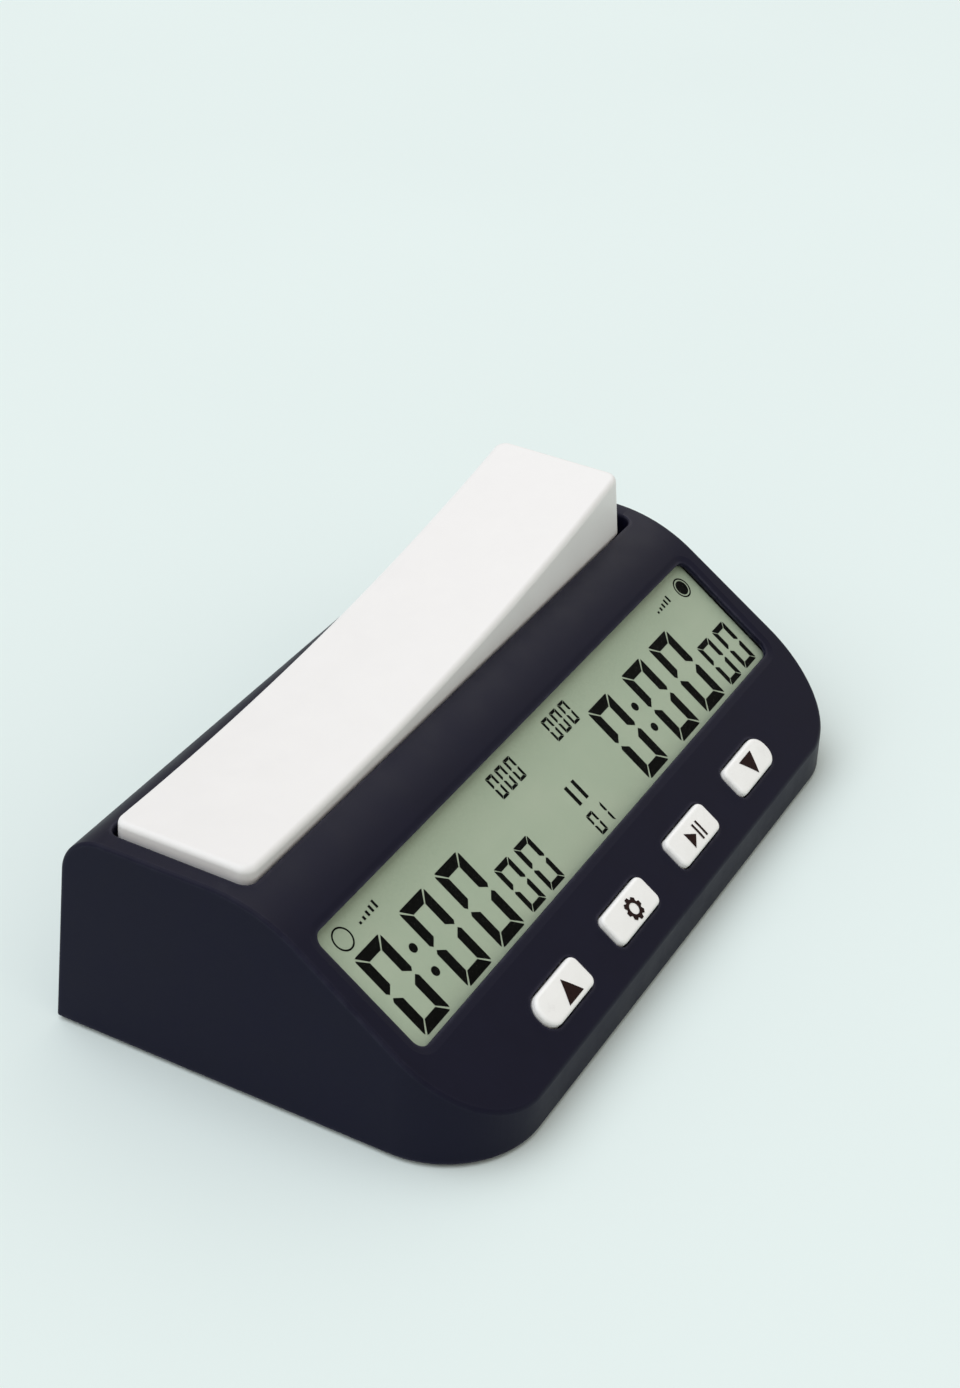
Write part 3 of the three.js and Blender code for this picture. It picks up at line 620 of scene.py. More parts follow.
tinned_metal = metal("tinned_metal", rgb(204, 201, 192), 0.38, (1, 5, 1))
capacitor_sleeve = moulded("capacitor_sleeve", rgb(34, 46, 84), 0.35, 0.6, 0.003)
jacket_gold = moulded("jacket_gold", rgb(188, 148, 82), 0.3, 1.2, 0.003, 0.6)
jacket_dark = moulded("jacket_dark", rgb(40, 40, 44), 0.3, 1.2, 0.003, 0.6)
red_insulation = moulded("red_insulation", rgb(168, 24, 22), 0.4, 0.3, 0.004)
black_insulation = moulded("black_insulation", rgb(24, 24, 24), 0.4, 0.3, 0.004)
board_green = circuit_board("circuit_board")
lcd_surface = liquid_crystal("lcd")
window_clear = clear_pane("window")
display_black = ink("display_black", rgb(3, 4, 3), 0.6)
printed_black = ink("printed_black", rgb(34, 20, 19), 0.5)


# ---------------------------------------------------------------- upper case

# A cutter runs a few millimetres past the surfaces it cuts.


def lean_ends(points, z):
    scale = 1 - z * END_LEAN / (CASE_LENGTH / 2)
    return [(p[0] * scale, p[1], z) for p in points]


def surface_height(y, side):
    """Height of the case's top surface above the table at y."""
    heights = [
        a.y + (b.y - a.y) * (y - a.x) / (b.x - a.x)
        for a, b in zip(side, side[1:] + side[:1])
        if a.x != b.x and min(a.x, b.x) <= y <= max(a.x, b.x)
    ]
    return max(heights)


def flare(radius, angles=(0, 25, 50, 70), reach=0.5):
    """(margin, drop) pairs that round a hole's rim, then run out past the surface."""
    steps = []
    for turn in (math.radians(angle) for angle in angles):
        steps.append((radius * (1 - math.cos(turn)), radius * (1 - math.sin(turn))))
    last = math.radians(angles[-1])
    margin, drop = steps[-1]
    steps.append((margin + reach * math.sin(last), drop - reach * math.cos(last)))
    return steps


def well_cutter(side):
    def ring(margin, height):
        corners = rectangle(
            -WELL_HALF_LENGTH - margin, WELL_HALF_LENGTH + margin,
            WELL_FRONT - margin, WELL_BACK + margin, WELL_CORNER + margin,
        )
        return [(p.x, p.y, height(p.y)) for p in outline(corners, 9)]

    rings = [ring(0, lambda y: WELL_FLOOR)]
    for margin, drop in flare(WELL_EDGE):
        rings.append(ring(margin, lambda y, drop=drop: surface_height(y, side) - drop))
    last = flare(WELL_EDGE)[-1][0]
    rings.append(ring(last, lambda y: CASE_TOP + 9))
    return loft(rings)


def slope_cutter(corners_at, depth, rim, x=0.0, arc_step=9):
    """A cutter through the sloped face whose rim is rounded. corners_at gives its outline by margin."""
    levels = [(0, -depth)] + [(margin, -drop) for margin, drop in flare(rim)]
    levels.append((levels[-1][0], 3))
    rings = [[(p.x + x, p.y, n) for p in outline(corners_at(margin), arc_step)] for margin, n in levels]
    return loft(rings, "cutter", SLOPE_PLACE)


def window_cutter():
    """Straight opening, then a wide shallow chamfer with small rounded breaks."""
    levels = [
        (0, -5), (0, -CHAMFER_DEPTH - 0.12), (0.05, -CHAMFER_DEPTH - 0.03), (0.18, -CHAMFER_DEPTH + 0.02),
        (CHAMFER_WIDTH - 0.2, -0.06), (CHAMFER_WIDTH, -0.015), (CHAMFER_WIDTH + 0.25, 0.02),
        (CHAMFER_WIDTH + 0.25, 3),
    ]
    rings = [[(p.x, p.y, n) for p in outline(window_corners(margin), 9)] for margin, n in levels]
    return loft(rings, "cutter", SLOPE_PLACE)


BUTTONS = [
    ("up_button", -1.5 * BUTTON_PITCH, "left end"),
    ("settings_button", -0.5 * BUTTON_PITCH, "middle"),
    ("play_pause_button", 0.5 * BUTTON_PITCH, "middle"),
    ("down_button", 1.5 * BUTTON_PITCH, "right end"),
]
CASE_SCREWS = [middle(name) for name in numbered("case_screw", 4)]
BOARD_SCREWS = [SLOPE_PLACE.inverted() @ middle(name) for name in numbered("board_screw", 4)]


def case_room():
    """The hollow of the case, without the well's tub and the screw posts."""
    side = outline(inset(side_corners(FRONT, -2 * WALL), WALL), 6)
    plan = outline(inset(plan_corners(), WALL), 9)
    room = prism_x(side, -CASE_LENGTH, CASE_LENGTH)
    combine(room, "INTERSECT", [loft([lean_ends(plan, -WALL), lean_ends(plan, CASE_TOP + 5)])])
    tub = block(
        -TUB_HALF_LENGTH, TUB_HALF_LENGTH, WELL_FRONT - TUB_WALL, WELL_BACK + TUB_WALL,
        WELL_FLOOR - TUB_FLOOR, CASE_TOP + 1,
    )
    posts = []
    for p in CASE_SCREWS:
        top = WELL_FLOOR if p.y > 0 else CASE_POST_FRONT_TOP
        posts.append(disc(p.x, p.y, PAD_TOP + GAP, top, CASE_POST_RADIUS))
    studs = [
        disc(p.x, p.y, GAP - BOARD_DEPTH, 0, BOARD_POST_RADIUS, SLOPE_PLACE, 24) for p in BOARD_SCREWS
    ]
    return combine(room, "DIFFERENCE", [tub, *posts, *studs])


def upper_case():
    side = outline(side_corners(FRONT - 8, CASE_BOTTOM), 3)
    plan = outline(plan_corners(), 4)
    shell = prism_x(side, -CASE_LENGTH, CASE_LENGTH)
    combine(shell, "INTERSECT", [loft([lean_ends(plan, -5), lean_ends(plan, CASE_TOP + 10)])])
    above = CASE_BOTTOM + 0.2
    soften(shell, CASE_EDGE, 5, 20, lambda a, b: max(a.z, b.z) > above)
    soften(shell, 0.25, 2, 60, lambda a, b: max(a.z, b.z) < above)
    low, high = WELL_FLOOR - 4, WELL_FLOOR + 1
    leg_slot = block(
        -LEG_SLOT_HALF_LENGTH, LEG_SLOT_HALF_LENGTH,
        ROCKER_Y - LEG_SLOT_HALF_DEPTH, ROCKER_Y + LEG_SLOT_HALF_DEPTH, low, high,
    )
    plunger_holes = [
        disc(x, ROCKER_Y, low, high, PLUNGER_HOLE_RADIUS) for x in (-SWITCH_OFFSET, SWITCH_OFFSET)
    ]
    screw_bores = [
        disc(p.x, p.y, PAD_TOP - 1, CASE_SCREW_BORE_TOP, CASE_SCREW_BORE, None, 20) for p in CASE_SCREWS
    ]
    button_holes = []
    for _, x, kind in BUTTONS:
        def hole(margin, kind=kind):
            return button_corners(kind, GAP + margin)
        button_holes.append(slope_cutter(hole, BUTTON_HOLE_DEPTH, BUTTON_HOLE_EDGE, x))
    return combine(shell, "DIFFERENCE", [
        case_room(),
        well_cutter(side),
        leg_slot,
        *plunger_holes,
        *screw_bores,
        prism_z(outline(lens_corners(GAP)), -GLASS_DEPTH - 2, -LENS_DEPTH + LENS_GAP, SLOPE_PLACE),
        window_cutter(),
        *button_holes,
    ])


# ---------------------------------------------------------------- display


def lens_pane():
    rings = []
    for margin, n in ((-0.12, -1), (0, -0.8), (0, -0.2), (-0.12, 0)):
        level = -LENS_DEPTH + n * LENS_THICKNESS
        rings.append([(p.x, p.y, level) for p in outline(lens_corners(margin))])
    return loft(rings, "lens", SLOPE_PLACE)


def lcd_panel():
    """Two bonded sheets of glass, the front one a little smaller, with ground edges."""
    levels = (
        (-0.15, -GLASS_THICKNESS), (0, -GLASS_THICKNESS + 0.15), (0, -0.9),
        (-0.25, -0.8), (-0.25, -0.12), (-0.4, 0),
    )
    rings = []
    for margin, n in levels:
        half = GLASS_HALF_LENGTH + margin
        corners = rectangle(-half, half, GLASS_LOW - margin, GLASS_HIGH + margin, GLASS_CORNER)
        rings.append([(p.x, p.y, n - GLASS_DEPTH) for p in outline(corners, 15)])
    return loft(rings, "lcd", SLOPE_PLACE)


class Artwork:
    """Flat shapes gathered into one thin mesh, in x along the slope and s up it."""

    def __init__(self):
        self.build = bmesh.new()

    def shape(self, points):
        self.build.faces.new([self.build.verts.new((x, y, 0)) for x, y in points])

    def bar(self, left, right, low, high):
        self.shape([(left, low), (right, low), (right, high), (left, high)])

    def ring(self, x, y, radius, width, sides=48):
        inner = [self.build.verts.new((*p, 0)) for p in circle(radius - width, sides, x, y)]
        outer = [self.build.verts.new((*p, 0)) for p in circle(radius, sides, x, y)]
        for i in range(sides):
            j = (i + 1) % sides
            self.build.faces.new((inner[i], outer[i], outer[j], inner[j]))

    def solid(self, name, level, thickness, height=lambda x, y: 0.0):
        """Gives the shapes their thickness and lays them on a surface of the given height."""
        bmesh.ops.triangulate(self.build, faces=self.build.faces)
        long_edges = [edge for edge in self.build.edges if edge.calc_length() > 1.2]
        bmesh.ops.subdivide_edges(self.build, edges=long_edges, cuts=2)
        bmesh.ops.triangulate(self.build, faces=self.build.faces)
        raised = bmesh.ops.extrude_face_region(self.build, geom=self.build.faces[:])
        top = [part for part in raised["geom"] if isinstance(part, bmesh.types.BMVert)]
        for vertex in top:
            vertex.co.z = thickness
        for vertex in self.build.verts:
            vertex.co.z += level + height(vertex.co.x, vertex.co.y)
        bmesh.ops.transform(self.build, matrix=SLOPE_PLACE, verts=self.build.verts)
        return to_mesh(self.build, name)


DIGIT_SEGMENTS = {"0": "abcdef", "1": "bc"}


def digit(art, symbol, x, style):
    """A seven-segment digit with mitred strokes, thin gaps and clipped corners."""
    y, width, height = style["y"], style["width"], style["height"]
    stroke, clip = style["stroke"], style["clip"]
    gap = stroke * 0.14
    half = height / 2
    along = [
        (gap + clip, 0), (width - gap - clip, 0), (width - clip, clip - gap),
        (width - stroke - gap * 0.6, stroke), (stroke + gap * 0.6, stroke), (clip, clip - gap),
    ]
    upright = [
        (0, clip + gap), (clip - gap, clip), (stroke, stroke + gap * 0.6),
        (stroke, half - stroke * 0.7), (stroke * 0.25, half - stroke * 0.16),
        (0, half - stroke * 0.42),
    ]

    def put(points, flip_x, flip_y):
        placed = [(x + (width - u if flip_x else u), y + (height - v if flip_y else v)) for u, v in points]
        art.shape(placed[::-1] if flip_x != flip_y else placed)

    placing = {
        "a": (along, False, True), "d": (along, False, False),
        "e": (upright, False, False), "c": (upright, True, False),
        "f": (upright, False, True), "b": (upright, True, True),
    }
    for segment in DIGIT_SEGMENTS[symbol]:
        put(*placing[segment])


LEFT_TIME_X = -66.85
RIGHT_TIME_X = 18.5
BIG_DIGITS = {
    "offsets": (0, 14.5, 26.5), "y": 20.4, "width": 8.3, "height": 17.35, "stroke": 2.2, "clip": 0.42,
}
SMALL_DIGITS = {
    "offsets": (37.9, 45.1), "y": 20.5, "width": 5.1, "height": 10.2, "stroke": 1.2, "clip": 0.25,
}
COLON = {"offset": 11.55, "heights": (26.5, 31.85), "radius": 0.9}
COUNTER = {
    "starts": (-14.45, 7.1), "pitch": 3.3, "y": 37.8, "width": 2.3, "height": 5.0, "stroke": 0.6,
    "clip": 0.12,
}
STEP = {
    "zero": -1.9, "one": 1.4, "y": 20.3, "width": 2.3, "height": 4.65, "stroke": 0.58, "clip": 0.12,
}
PAUSE_BARS = {"lefts": (-0.95, 1.7), "width": 0.95, "low": 26.95, "high": 31.25}
RINGS = ((-65.25, 41.3, False), (66.8, 41.15, True))
RING_RADIUS = 2.25
RING_WIDTH = 0.33
RING_DOT_RADIUS = 1.6
LEVEL_BARS = {
    "starts": (-60.2, 55.4), "count": 5, "pitch": 1.3, "width": 0.55, "low": 40.8, "top": 41.3, "rise": 0.28,
}


def time_display(start):
    art = Artwork()
    for style in (BIG_DIGITS, SMALL_DIGITS):
        for offset in style["offsets"]:
            digit(art, "0", start + offset, style)
    for height in COLON["heights"]:
        art.shape(circle(COLON["radius"], 28, start + COLON["offset"], height))
    return art


def counters():
    art = Artwork()
    for start in COUNTER["starts"]:
        for index in range(3):
            digit(art, "0", start + index * COUNTER["pitch"], COUNTER)
    for symbol, x in (("0", STEP["zero"]), ("1", STEP["one"])):
        digit(art, symbol, x, STEP)
    return art


def display_marks():
    """Rings that show whose turn it is, pause bars, and a plain level mark beside each ring."""
    art = Artwork()
    for x, y, filled in RINGS:
        art.ring(x, y, RING_RADIUS, RING_WIDTH)
        if filled:
            art.shape(circle(RING_DOT_RADIUS, 32, x, y))
    for left in PAUSE_BARS["lefts"]:
        art.bar(left, left + PAUSE_BARS["width"], PAUSE_BARS["low"], PAUSE_BARS["high"])
    for start in LEVEL_BARS["starts"]:
        for index in range(LEVEL_BARS["count"]):
            left = start + index * LEVEL_BARS["pitch"]
            top = LEVEL_BARS["top"] + LEVEL_BARS["rise"] * index
            art.bar(left, left + LEVEL_BARS["width"], LEVEL_BARS["low"], top)
    return art


# ---------------------------------------------------------------- buttons


def crown(x, y):
    """Height of the button's domed top over its flat height; x from its middle, y up the slope."""
    across = x / (BUTTON_WIDTH / 2)
    up = (y - BUTTON_MIDDLE) / (BUTTON_HEIGHT / 2)
    return BUTTON_CROWN * max(0.0, 1 - across ** 2) * max(0.0, 1 - up ** 2)


def button_cap(kind, x):
    levels = [(FLANGE_LIP, -FLANGE_BASE_DEPTH), (FLANGE_LIP, -FLANGE_DEPTH - 0.15)]
    levels.append((FLANGE_LIP - 0.15, -FLANGE_DEPTH))
    levels += [(0.12, -FLANGE_DEPTH), (0, -FLANGE_DEPTH + 0.12)]
    for angle in range(0, 91, 15):
        turn = math.radians(angle)
        margin = -BUTTON_EDGE * (1 - math.cos(turn))
        levels.append((margin, BUTTON_PROUD - BUTTON_EDGE * (1 - math.sin(turn))))
    levels += [(-BUTTON_EDGE - extra, BUTTON_PROUD) for extra in (0.4, 0.8, 1.2, 1.6, 2.0, 2.3)]
    rings = []
    for margin, n in levels:
        corners = button_corners(kind, margin, max(margin, -BUTTON_CORNER + 0.15))
        ring = []
        for p in outline(corners, 6):
            top = crown(p.x, p.y) if n > 0 and margin < 0 else 0
            ring.append((p.x + x, p.y, n + top))
        rings.append(ring)
    cap = loft(rings, "cap", SLOPE_PLACE)
    stem_top = 0.2 - FLANGE_BASE_DEPTH
    stem = disc(x, BUTTON_MIDDLE, -BUTTON_BASE_DEPTH, stem_top, BUTTON_STEM_RADIUS, SLOPE_PLACE)
    return combine(cap, "UNION", [stem])


# Printed signs, in millimetres from the middle of the cap along x and from the slope's foot up it
GEAR_CENTRE = (0.38, BUTTON_MIDDLE - 0.25)
GEAR_OUTER = 2.3
GEAR_ROOT = 1.8
GEAR_HOLE = 1.15
GEAR_TEETH = 8
UP_SIGN = {"x": 1.15, "y": BUTTON_MIDDLE - 0.2, "half": 2.6, "height": 4.2}
DOWN_SIGN = {"x": 0.0, "y": BUTTON_MIDDLE - 0.25, "half": 2.55, "height": -4.2}
PLAY_LEFT = -2.4
PLAY_TIP = 0.2
PLAY_MIDDLE = BUTTON_MIDDLE - 0.35
PLAY_HALF_HEIGHT = 1.75
PLAY_BARS = (0.85, 2.25)
PLAY_BAR_WIDTH = 0.55


def triangle(art, x, y, half, height):
    """A triangle that points up the slope, or down it where its height is negative."""
    base = y - height / 2
    points = [(x - half, base), (x + half, base), (x, base + height)]
    art.shape(points if height > 0 else points[::-1])


def gear_outline(x, y, outer, root, teeth):
    points = []
    for tooth in range(teeth):
        for share, radius in ((-0.42, root), (-0.22, outer), (0.22, outer), (0.42, root)):
            angle = (tooth + share) / teeth * 2 * math.pi
            points.append((x + radius * math.cos(angle), y + radius * math.sin(angle)))
    return points


def gear_icon(art):
    """A toothed ring: each tooth's four outer points are joined to the hole's edge."""
    x, y = GEAR_CENTRE
    teeth = gear_outline(x, y, GEAR_OUTER, GEAR_ROOT, GEAR_TEETH)
    outer = [art.build.verts.new((*p, 0)) for p in teeth]
    inner = []
    for vertex in outer:
        direction = Vector((vertex.co.x - x, vertex.co.y - y)).normalized() * GEAR_HOLE
        inner.append(art.build.verts.new((x + direction.x, y + direction.y, 0)))
    for i in range(len(outer)):
        j = (i + 1) % len(outer)
        art.build.faces.new((inner[i], outer[i], outer[j], inner[j]))


def play_pause_icon(art):
    low, high = PLAY_MIDDLE - PLAY_HALF_HEIGHT, PLAY_MIDDLE + PLAY_HALF_HEIGHT
    art.shape([(PLAY_LEFT, low), (PLAY_TIP, PLAY_MIDDLE), (PLAY_LEFT, high)])
    for left in PLAY_BARS:
        art.bar(left, left + PLAY_BAR_WIDTH, low, high)


def icon(kind):
    art = Artwork()
    if kind == "up_button":
        triangle(art, **UP_SIGN)
    elif kind == "down_button":
        triangle(art, **DOWN_SIGN)
    elif kind == "settings_button":
        gear_icon(art)
    else:
        play_pause_icon(art)
    return art


# ---------------------------------------------------------------- rocker


def rocker_top(x):
    """Height of the rocker's hollowed top above the pivot."""
    dip = ROCKER_TOP_RADIUS - math.sqrt(ROCKER_TOP_RADIUS ** 2 - x ** 2)
    return ROCKER_TOP_MIDDLE - PIVOT_HEIGHT + dip


def rocker_half(height):
    """Half length of the rocker at a height above the pivot, as its ends lean in."""
    return ROCKER_RIM_HALF_LENGTH - (height - CASE_TOP + PIVOT_HEIGHT) * ROCKER_DRAFT


def rocker_body(front, back):
    """A block with rounded corners and edges, bent so that its top is hollow and its ends lean in."""
    skirt = ROCKER_SKIRT_BOTTOM - PIVOT_HEIGHT
    flat = rocker_top(0)
    levels = [(-0.3, skirt), (-0.09, skirt + 0.09), (0, skirt + 0.3)]
    for angle in range(0, 91, 15):
        turn = math.radians(angle)
        levels.append((-ROCKER_EDGE * (1 - math.cos(turn)), flat - ROCKER_EDGE * (1 - math.sin(turn))))
    half = ROCKER_RIM_HALF_LENGTH
    rings = []
    for margin, z in levels:
        plan = rectangle(
            -half - margin, half + margin, front - margin, back + margin, ROCKER_CORNER + margin,
        )
        rings.append([(p.x, p.y, z) for p in outline(plan, 5)])
    build = loft_build(rings)
    cuts = 36
    for cut in range(1, cuts):
        bmesh.ops.bisect_plane(
            build, geom=build.verts[:] + build.edges[:] + build.faces[:], dist=1e-5,
            plane_co=(half * (2 * cut / cuts - 1), 0, 0), plane_no=(1, 0, 0),
        )
    for vertex in build.verts:
        if vertex.co.z > skirt + 1:
            vertex.co.z += rocker_top(vertex.co.x) - flat
        vertex.co.x *= rocker_half(vertex.co.z) / half
    return to_mesh(build, "rocker")


def rocker_lever():
    front, back = WELL_FRONT + WELL_PLAY, WELL_BACK - WELL_PLAY
    lever = rocker_body(front, back)
    skirt = ROCKER_SKIRT_BOTTOM - PIVOT_HEIGHT
    end = rocker_half(rocker_top(ROCKER_RIM_HALF_LENGTH)) - ROCKER_WALL
    ceiling = [(x, rocker_top(x) - ROCKER_WALL) for x in (end * (1 - step / 12) for step in range(25))]
    mouth = rocker_half(skirt - 5) - ROCKER_WALL
    room = [(-mouth, skirt - 5), (mouth, skirt - 5), *ceiling]
    hollow = prism_y(room, front + ROCKER_WALL, back - ROCKER_WALL)
    ribs = [
        block(x - ROCKER_RIB_HALF, x + ROCKER_RIB_HALF, front + 1, back - 1, skirt + 2, ROCKER_RIB_TOP)
        for x in ROCKER_RIBS
    ]
    combine(hollow, "DIFFERENCE", ribs)
    combine(lever, "DIFFERENCE", [hollow])
    root = rocker_top(0) - 1
    half = LEG_HALF_LENGTH
    leg_corners = [(-half, -half, LEG_CORNER), (half, -half, LEG_CORNER), (half, root, 0), (-half, root, 0)]
    leg = outline(leg_corners, 8)
    pushers = [
        disc(x, ROCKER_Y, PUSHER_BOTTOM - PIVOT_HEIGHT, root, PUSHER_RADIUS)
        for x in (-SWITCH_OFFSET, SWITCH_OFFSET)
    ]
    combine(lever, "UNION", [prism_y(leg, ROCKER_Y - LEG_HALF_DEPTH, ROCKER_Y + LEG_HALF_DEPTH), *pushers])
    bore = circle(PIN_RADIUS + GAP, 32)
    reach = PIN_BORE_HALF_DEPTH
    combine(lever, "DIFFERENCE", [prism_y(bore, ROCKER_Y - reach, ROCKER_Y + reach)])
    lever.data.transform(Matrix.Scale(MM, 4) @ ROCKER_PLACE @ Matrix.Scale(1 / MM, 4))
    return lever


# ---------------------------------------------------------------- small pieces

CASE_SCREW = {"head": 2.4, "head_height": 1.3, "shank": 1.2, "length": 7.5}
BOARD_SCREW = {"head": 1.7, "head_height": 1.0, "shank": 0.8, "length": 3.4}
THREAD_PITCH = 0.7
CELL_BARE_RADIUS = 6.3
CELL_BAND_START = 12.02


def screw(place, name, head, head_height, shank, length):
    """A pan-head screw with a cross recess, its head down and its tip up; place is the head's face."""
    profile = [(head * 0.45, 0), (head * 0.75, 0.06), (head * 0.93, 0.3), (head, head_height * 0.6)]
    profile += [(head, head_height - 0.1), (head - 0.15, head_height), (shank, head_height)]
    root = shank * 0.8
    for turn in range(int((length - 1) / THREAD_PITCH)):
        start = head_height + 0.4 + turn * THREAD_PITCH
        profile += [(root, start), (shank, start + 0.25), (shank, start + 0.32), (root, start + 0.57)]
    profile += [(shank * 0.78, head_height + length - 0.6), (0.12, head_height + length)]
    body = turned(profile, Matrix.Identity(4), name, 32)
    arm, half = head * 0.62, head * 0.13
    slots = [
        block(-arm, arm, -half, half, -0.5, head_height * 0.55),
        block(-half, half, -arm, arm, -0.5, head_height * 0.55),
    ]
    combine(body, "DIFFERENCE", slots)
    body.data.transform(Matrix.Scale(MM, 4) @ place @ Matrix.Scale(1 / MM, 4))
    return body


def foot(centre):
    """A round rubber foot with a soft rim and a shallow dished face on the table."""
    profile = [(0.6, 0.22), (2.4, 0.16), (2.75, 0.0), (3.35, 0.0), (3.62, 0.14), (3.7, 0.42)]
    profile += [(3.7, 1.6), (3.55, 1.8)]
    return turned(profile, Matrix.Translation((centre.x, centre.y, 0)), "foot")


def battery(centre, direction):
    """An AA cell with a crimped jacket, a gold shoulder band and a bright button."""
    start = Matrix.Translation(centre) @ Matrix.Rotation(direction * math.pi / 2, 4, "Y")
    profile = [(5.8, -24.9), (6.6, -24.85), (7.0, -24.6), (7.1, -24.2), (7.1, 12.0), (7.1, 12.05)]
    profile += [(7.1, 22.9), (7.0, 23.3), (6.6, 23.55), (6.2, 23.5), (6.0, 23.65), (3.4, 23.7)]
    profile += [(2.75, 23.8), (2.7, 24.7), (2.45, 24.9)]
    cell = turned(profile, start, "battery", 64)
    inverse = (Matrix.Scale(MM, 4) @ start).inverted()
    for face in cell.data.polygons:
        at = inverse @ face.center
        if at.xy.length < CELL_BARE_RADIUS:
            face.material_index = 2
        else:
            face.material_index = 1 if at.z > CELL_BAND_START else 0
    return cell


def refined(node, width, segments=2, angle=40):
    """A finer copy of a CAD node: its flat faces made whole and its sharp edges rounded."""
    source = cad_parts[node]
    data = source.data.copy()
    data.materials.clear()
    copy = bpy.data.objects.new(node + "_fine", data)
    bpy.context.scene.collection.objects.link(copy)
    build = bmesh.new()
    build.from_mesh(data)
    bmesh.ops.remove_doubles(build, verts=build.verts, dist=2e-6)
    bmesh.ops.dissolve_limit(build, angle_limit=math.radians(1), verts=build.verts, edges=build.edges)
    build.to_mesh(data)
    build.free()
    return soften(copy, width, segments, angle) if width else copy


# ---------------------------------------------------------------- assembly

finish_piece(upper_case(), "case_shell", "case", case_plastic, ["upper_case"])
finish_piece(rocker_lever(), "rocker_lever", "rocker", white_plastic, ["rocker"])
finish_piece(lens_pane(), "window_pane", "case", window_clear, ["display_window"])
finish_piece(lcd_panel(), "lcd_panel", "case", lcd_surface, ["lcd_glass"])

for name, artwork in (
    ("left_time", time_display(LEFT_TIME_X)),
    ("right_time", time_display(RIGHT_TIME_X)),
    ("counters", counters()),
    ("display_marks", display_marks()),
):
    segments = artwork.solid(name, -GLASS_DEPTH + 0.005, INK_THICKNESS)
    finish_piece(segments, name, "case", display_black)

for name, x, kind in BUTTONS:
    finish_piece(button_cap(kind, x), name + "_cap", name, cap_plastic, [name])
    printed = icon(name)
    bmesh.ops.translate(printed.build, vec=(x, 0, 0), verts=printed.build.verts)
    print_level = BUTTON_PROUD + 0.004
    mark = printed.solid(name + "_icon", print_level, INK_THICKNESS, lambda u, v, x=x: crown(u - x, v))
    finish_piece(mark, name + "_icon", name, printed_black)

REFINED = [
    ("lower_case", "case", "case_plastic", case_plastic, 0.3),
    ("battery_door", "battery_door", "case_plastic", case_plastic, 0.2),
    ("lcd_frame", "case", "black_plastic", black_plastic, 0.2),
    ("lower_zebra_strip", "case", "zebra_rubber", zebra_rubber, 0.2),
    ("upper_zebra_strip", "case", "zebra_rubber", zebra_rubber, 0.2),
    ("main_board", "case", "circuit_board", board_green, 0.08),
    ("keypad_mat", "case", "silicone", silicone, 0.15),
    ("controller_chip", "case", "black_plastic", black_plastic, 0.15),
    ("crystal", "case", "steel", steel, 0.3),
    ("capacitor", "case", "capacitor_sleeve", capacitor_sleeve, 0.3),
    ("buzzer", "case", "black_plastic", black_plastic, 0.3),
    ("pivot_pin", "case", "steel", steel, 0.25),
    ("left_switch_body", "case", "black_plastic", black_plastic, 0.25),
    ("right_switch_body", "case", "black_plastic", black_plastic, 0.25),
    ("left_switch_plunger", "left_plunger", "ivory_plastic", ivory_plastic, 0.2),
    ("right_switch_plunger", "right_plunger", "ivory_plastic", ivory_plastic, 0.2),
    ("left_stop_pad", "case", "black_rubber", black_rubber, 0.12),
    ("right_stop_pad", "case", "black_rubber", black_rubber, 0.12),
    ("negative_contact", "case", "tinned_metal", tinned_metal, 0.1),
    ("positive_contact", "case", "tinned_metal", tinned_metal, 0.1),
    ("bridge_contact", "case", "tinned_metal", tinned_metal, 0.1),
    ("front_battery_spring", "case", "tinned_metal", tinned_metal, 0),
    ("rear_battery_spring", "case", "tinned_metal", tinned_metal, 0),
    ("positive_lead", "case", "red_insulation", red_insulation, 0),
    ("negative_lead", "case", "black_insulation", black_insulation, 0),
    ("power_switch_body", "case", "steel", steel, 0.15),
    ("power_switch_knob", "power_knob", "black_plastic", black_plastic, 0.12),
]
for node, body, slot, material, width in REFINED:
    finish_piece(refined(node, width), node + "_fine", body, material, [node], 50)

for name in numbered("case_screw", 4):
    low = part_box(name)[0].z / MM
    centre = middle(name)
    fastener = screw(Matrix.Translation((centre.x, centre.y, low)), name, **CASE_SCREW)
    finish_piece(fastener, name + "_turned", "case", steel, [name])

SCREW_HEAD_DEPTH = BOARD_DEPTH + BOARD_THICKNESS + GAP + BOARD_SCREW["head_height"]
for name, centre in zip(numbered("board_screw", 4), BOARD_SCREWS):
    place = SLOPE_PLACE @ Matrix.Translation((centre.x, centre.y, -SCREW_HEAD_DEPTH))
    fastener = screw(place, name, **BOARD_SCREW)
    finish_piece(fastener, name + "_turned", "case", steel, [name])

for name in numbered("foot", 4):
    finish_piece(foot(middle(name)), name + "_pad", "case", black_rubber, [name])

for name, direction in (("front_battery", 1), ("rear_battery", -1)):
    cell = battery(middle(name), direction)
    coats = [jacket_dark, jacket_gold, steel]
    finish_piece(cell, name + "_cell", "case", coats, [name])

# ---------------------------------------------------------------- floor, light and camera

FLOOR_HALF = 4.0
floor_mesh = bmesh.new()
bmesh.ops.create_grid(floor_mesh, x_segments=8, y_segments=8, size=FLOOR_HALF / MM)
floor = to_mesh(floor_mesh, "floor")
paint = Nodes("floor_paint")
floor_cloud = paint.noise(220.0, 2)
floor.data.materials.append(paint.principled(
    Base_Color=paint.blend(paint.spread(floor_cloud, 0, 1), rgb(232, 244, 242), rgb(234, 246, 244)),
    Roughness=paint.spread(floor_cloud, 0.85, 0.95),
    Specular_IOR_Level=0.05,
))


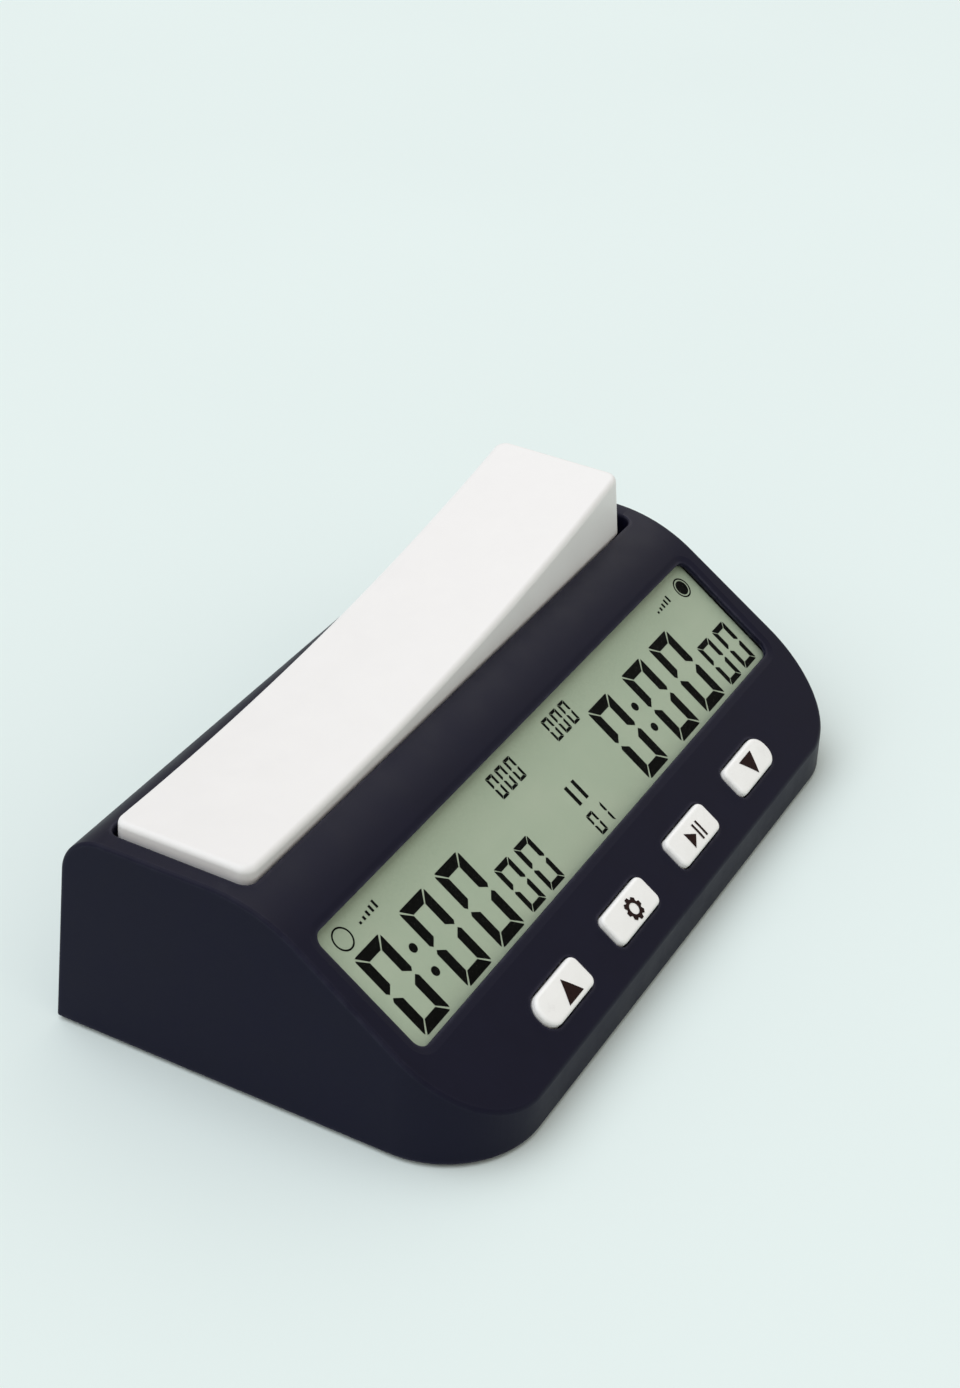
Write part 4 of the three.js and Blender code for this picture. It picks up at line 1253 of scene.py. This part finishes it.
def aimed(data, direction, distance=0.0):
    """A light placed along a direction from the clock and turned to it."""
    light = bpy.data.objects.new(data.name, data)
    towards = Vector(direction).normalized()
    light.location = towards * distance
    light.rotation_euler = towards.to_track_quat("Z", "Y").to_euler()
    bpy.context.scene.collection.objects.link(light)
    return light


sun = bpy.data.lights.new("key", "SUN")
sun.energy = 1.3
sun.angle = math.radians(70)
sun.color = (1.0, 1.06, 1.17)
aimed(sun, (-0.3, 0.4, 1))

sheen_box = bpy.data.lights.new("sheen_box", "AREA")
sheen_box.energy = 3.4
sheen_box.size = 0.8
aimed(sheen_box, (0.75, 0.15, 0.65), 1.2).visible_diffuse = False

world = bpy.data.worlds.new("studio")
world.use_nodes = True
sky = world.node_tree
backdrop = sky.nodes.new("ShaderNodeBackground")
backdrop.inputs["Color"].default_value = rgb(228, 240, 238)
soft_light = sky.nodes["Background"]
soft_light.inputs["Color"].default_value = (1.0, 0.96, 0.89, 1.0)
soft_light.inputs["Strength"].default_value = 0.6
choice = sky.nodes.new("ShaderNodeMixShader")
sky.links.new(sky.nodes.new("ShaderNodeLightPath").outputs["Is Camera Ray"], choice.inputs[0])
sky.links.new(soft_light.outputs[0], choice.inputs[1])
sky.links.new(backdrop.outputs[0], choice.inputs[2])
sky.links.new(choice.outputs[0], sky.nodes["World Output"].inputs["Surface"])
bpy.context.scene.world = world
bpy.context.scene.view_settings.view_transform = "Standard"

CAMERA_PLACE = Vector((-347.370, -173.001, 294.628))
CAMERA_AIM = Vector((24.66, 15.23, 20.0))
CAMERA_ROLL = math.radians(3.05)
camera_data = bpy.data.cameras.new("camera")
camera_data.lens = 66.4
camera_data.clip_start = 0.01
camera = bpy.data.objects.new("camera", camera_data)
facing = (CAMERA_AIM - CAMERA_PLACE).to_track_quat("-Z", "Y").to_matrix().to_4x4()
camera.matrix_world = Matrix.Translation(CAMERA_PLACE * MM) @ facing @ Matrix.Rotation(CAMERA_ROLL, 4, "Z")
bpy.context.scene.collection.objects.link(camera)
bpy.context.scene.camera = camera
